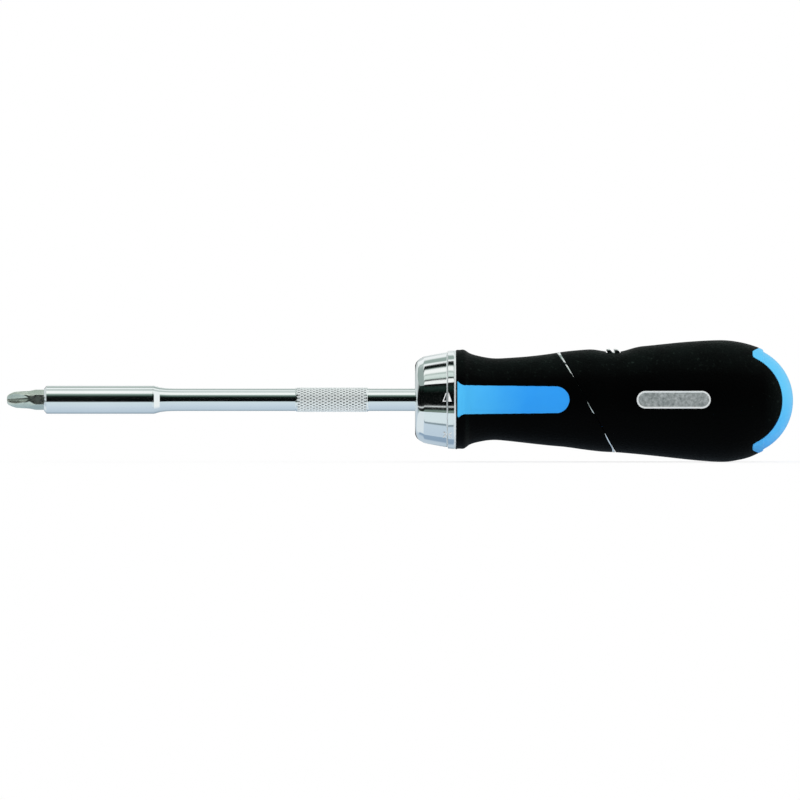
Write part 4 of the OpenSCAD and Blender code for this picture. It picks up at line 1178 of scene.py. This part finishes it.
def world():
    """Bright metal mirrors the bands and cards; all else is lit by plain white."""
    w = bpy.data.worlds.new("studio")
    bpy.context.scene.world = w
    w.use_nodes = True
    w.node_tree.nodes.clear()
    sky = Sky(w.node_tree)
    x, y, z = sky.split(sky.add("ShaderNodeTexCoord").outputs["Generated"])
    off_x, off_z = sky.math("ABSOLUTE", x), sky.math("ABSOLUTE", z)
    # Well above or below the horizon, the height is measured round the tool's own axis
    more = sky.math("SUBTRACT", sky.share(1.0, sky.far(y, z)), 1.0)
    stretch = sky.plus(sky.times(more, sky.step(off_z, 0.45, 0.75)), 1.0)
    height = sky.plus(sky.math("DIVIDE", sky.math("ARCSINE", sky.times(z, stretch)), math.pi), 0.5)
    side = sky.step(x, -0.04, -0.07)
    front = sky.blend(side, sky.ramp(height, FRONT), sky.ramp(height, FRONT_SIDE))
    back = sky.blend(side, sky.ramp(height, BACK), sky.ramp(height, BACK_SIDE))
    # A dark card straight behind gives bright metal its contrast from that side too
    dark_card = sky.times(sky.step(off_x, 0.4, 0.3), sky.step(off_z, 0.2, 0.16))
    back = sky.blend(dark_card, back, rgb(14, 18, 18))
    behind = sky.step(sky.share(y, sky.far(x, y)), -0.25, 0.25)
    seen = sky.blend(behind, front, back)
    # Beyond the bit it is grey above and light below
    ahead = sky.step(x, -0.5, -0.62)
    seen = sky.blend(sky.times(ahead, sky.step(z, 0.46, 0.54)), seen, rgb(152, 166, 162))
    seen = sky.blend(sky.times(ahead, sky.step(z, -0.3, -0.4)), seen, rgb(222, 231, 236))
    # A pale card beyond the handle's end
    pale_card = sky.times(sky.step(x, 0.36, 0.46), sky.step(x, 0.62, 0.56))
    seen = sky.blend(pale_card, seen, rgb(244, 248, 248))
    shiny = sky.fill(sky.add("ShaderNodeBackground"), seen)
    plain = sky.fill(sky.add("ShaderNodeBackground"), (1, 1, 1, 1))
    rays = sky.add("ShaderNodeLightPath").outputs
    sky.put(sky.add("ShaderNodeOutputWorld").inputs[0], sky.either(rays["Is Glossy Ray"], plain, shiny))


def floor():
    """White ground that takes the tool's shadow, and that bright metal doesn't mirror."""
    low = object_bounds()[0][2]
    size, pale_share = 60.0, 0.6
    mesh = bpy.data.meshes.new("floor")
    corners = [(-size, -size), (size, -size), (size, size), (-size, size)]
    mesh.from_pydata([(x, y, low) for x, y in corners], [], [(0, 1, 2, 3)])
    material = bpy.data.materials.new("floor_white")
    material.use_nodes = True
    n = Tree(material.node_tree)
    shader = n.tree.nodes["Principled BSDF"]
    for key, value in (("Base Color", (1, 1, 1, 1)), ("Roughness", 1.0), ("Specular IOR Level", 0.0)):
        n.put(shader.inputs[key], value)
    rays = n.add("ShaderNodeLightPath").outputs
    white, clear = n.add("ShaderNodeEmission").outputs[0], n.add("ShaderNodeBsdfTransparent").outputs[0]
    pale = n.either(n.times(rays["Is Camera Ray"], pale_share), shader.outputs[0], white)
    ground = n.either(rays["Is Glossy Ray"], pale, clear)
    n.put(n.tree.nodes["Material Output"].inputs["Surface"], ground)
    mesh.materials.append(material)
    piece = bpy.data.objects.new("floor", mesh)
    bpy.context.scene.collection.objects.link(piece)
    piece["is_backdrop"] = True


def camera():
    """Level, square to the tool, so far away that lines stay almost parallel. Lengths are in metres."""
    distance, across, middle_x, middle_z = 5.0, 0.2857, 0.1407, -0.00009
    data = bpy.data.cameras.new("camera")
    data.sensor_width = 36.0
    data.lens = data.sensor_width * distance / across
    data.clip_start, data.clip_end = 0.1, 100.0
    piece = bpy.data.objects.new("camera", data)
    piece.location = (middle_x, -distance, middle_z)
    piece.rotation_euler = (math.pi / 2, 0, 0)
    bpy.context.scene.collection.objects.link(piece)
    bpy.context.scene.camera = piece


world()
floor()
camera()
bpy.context.scene.view_settings.view_transform = "Standard"
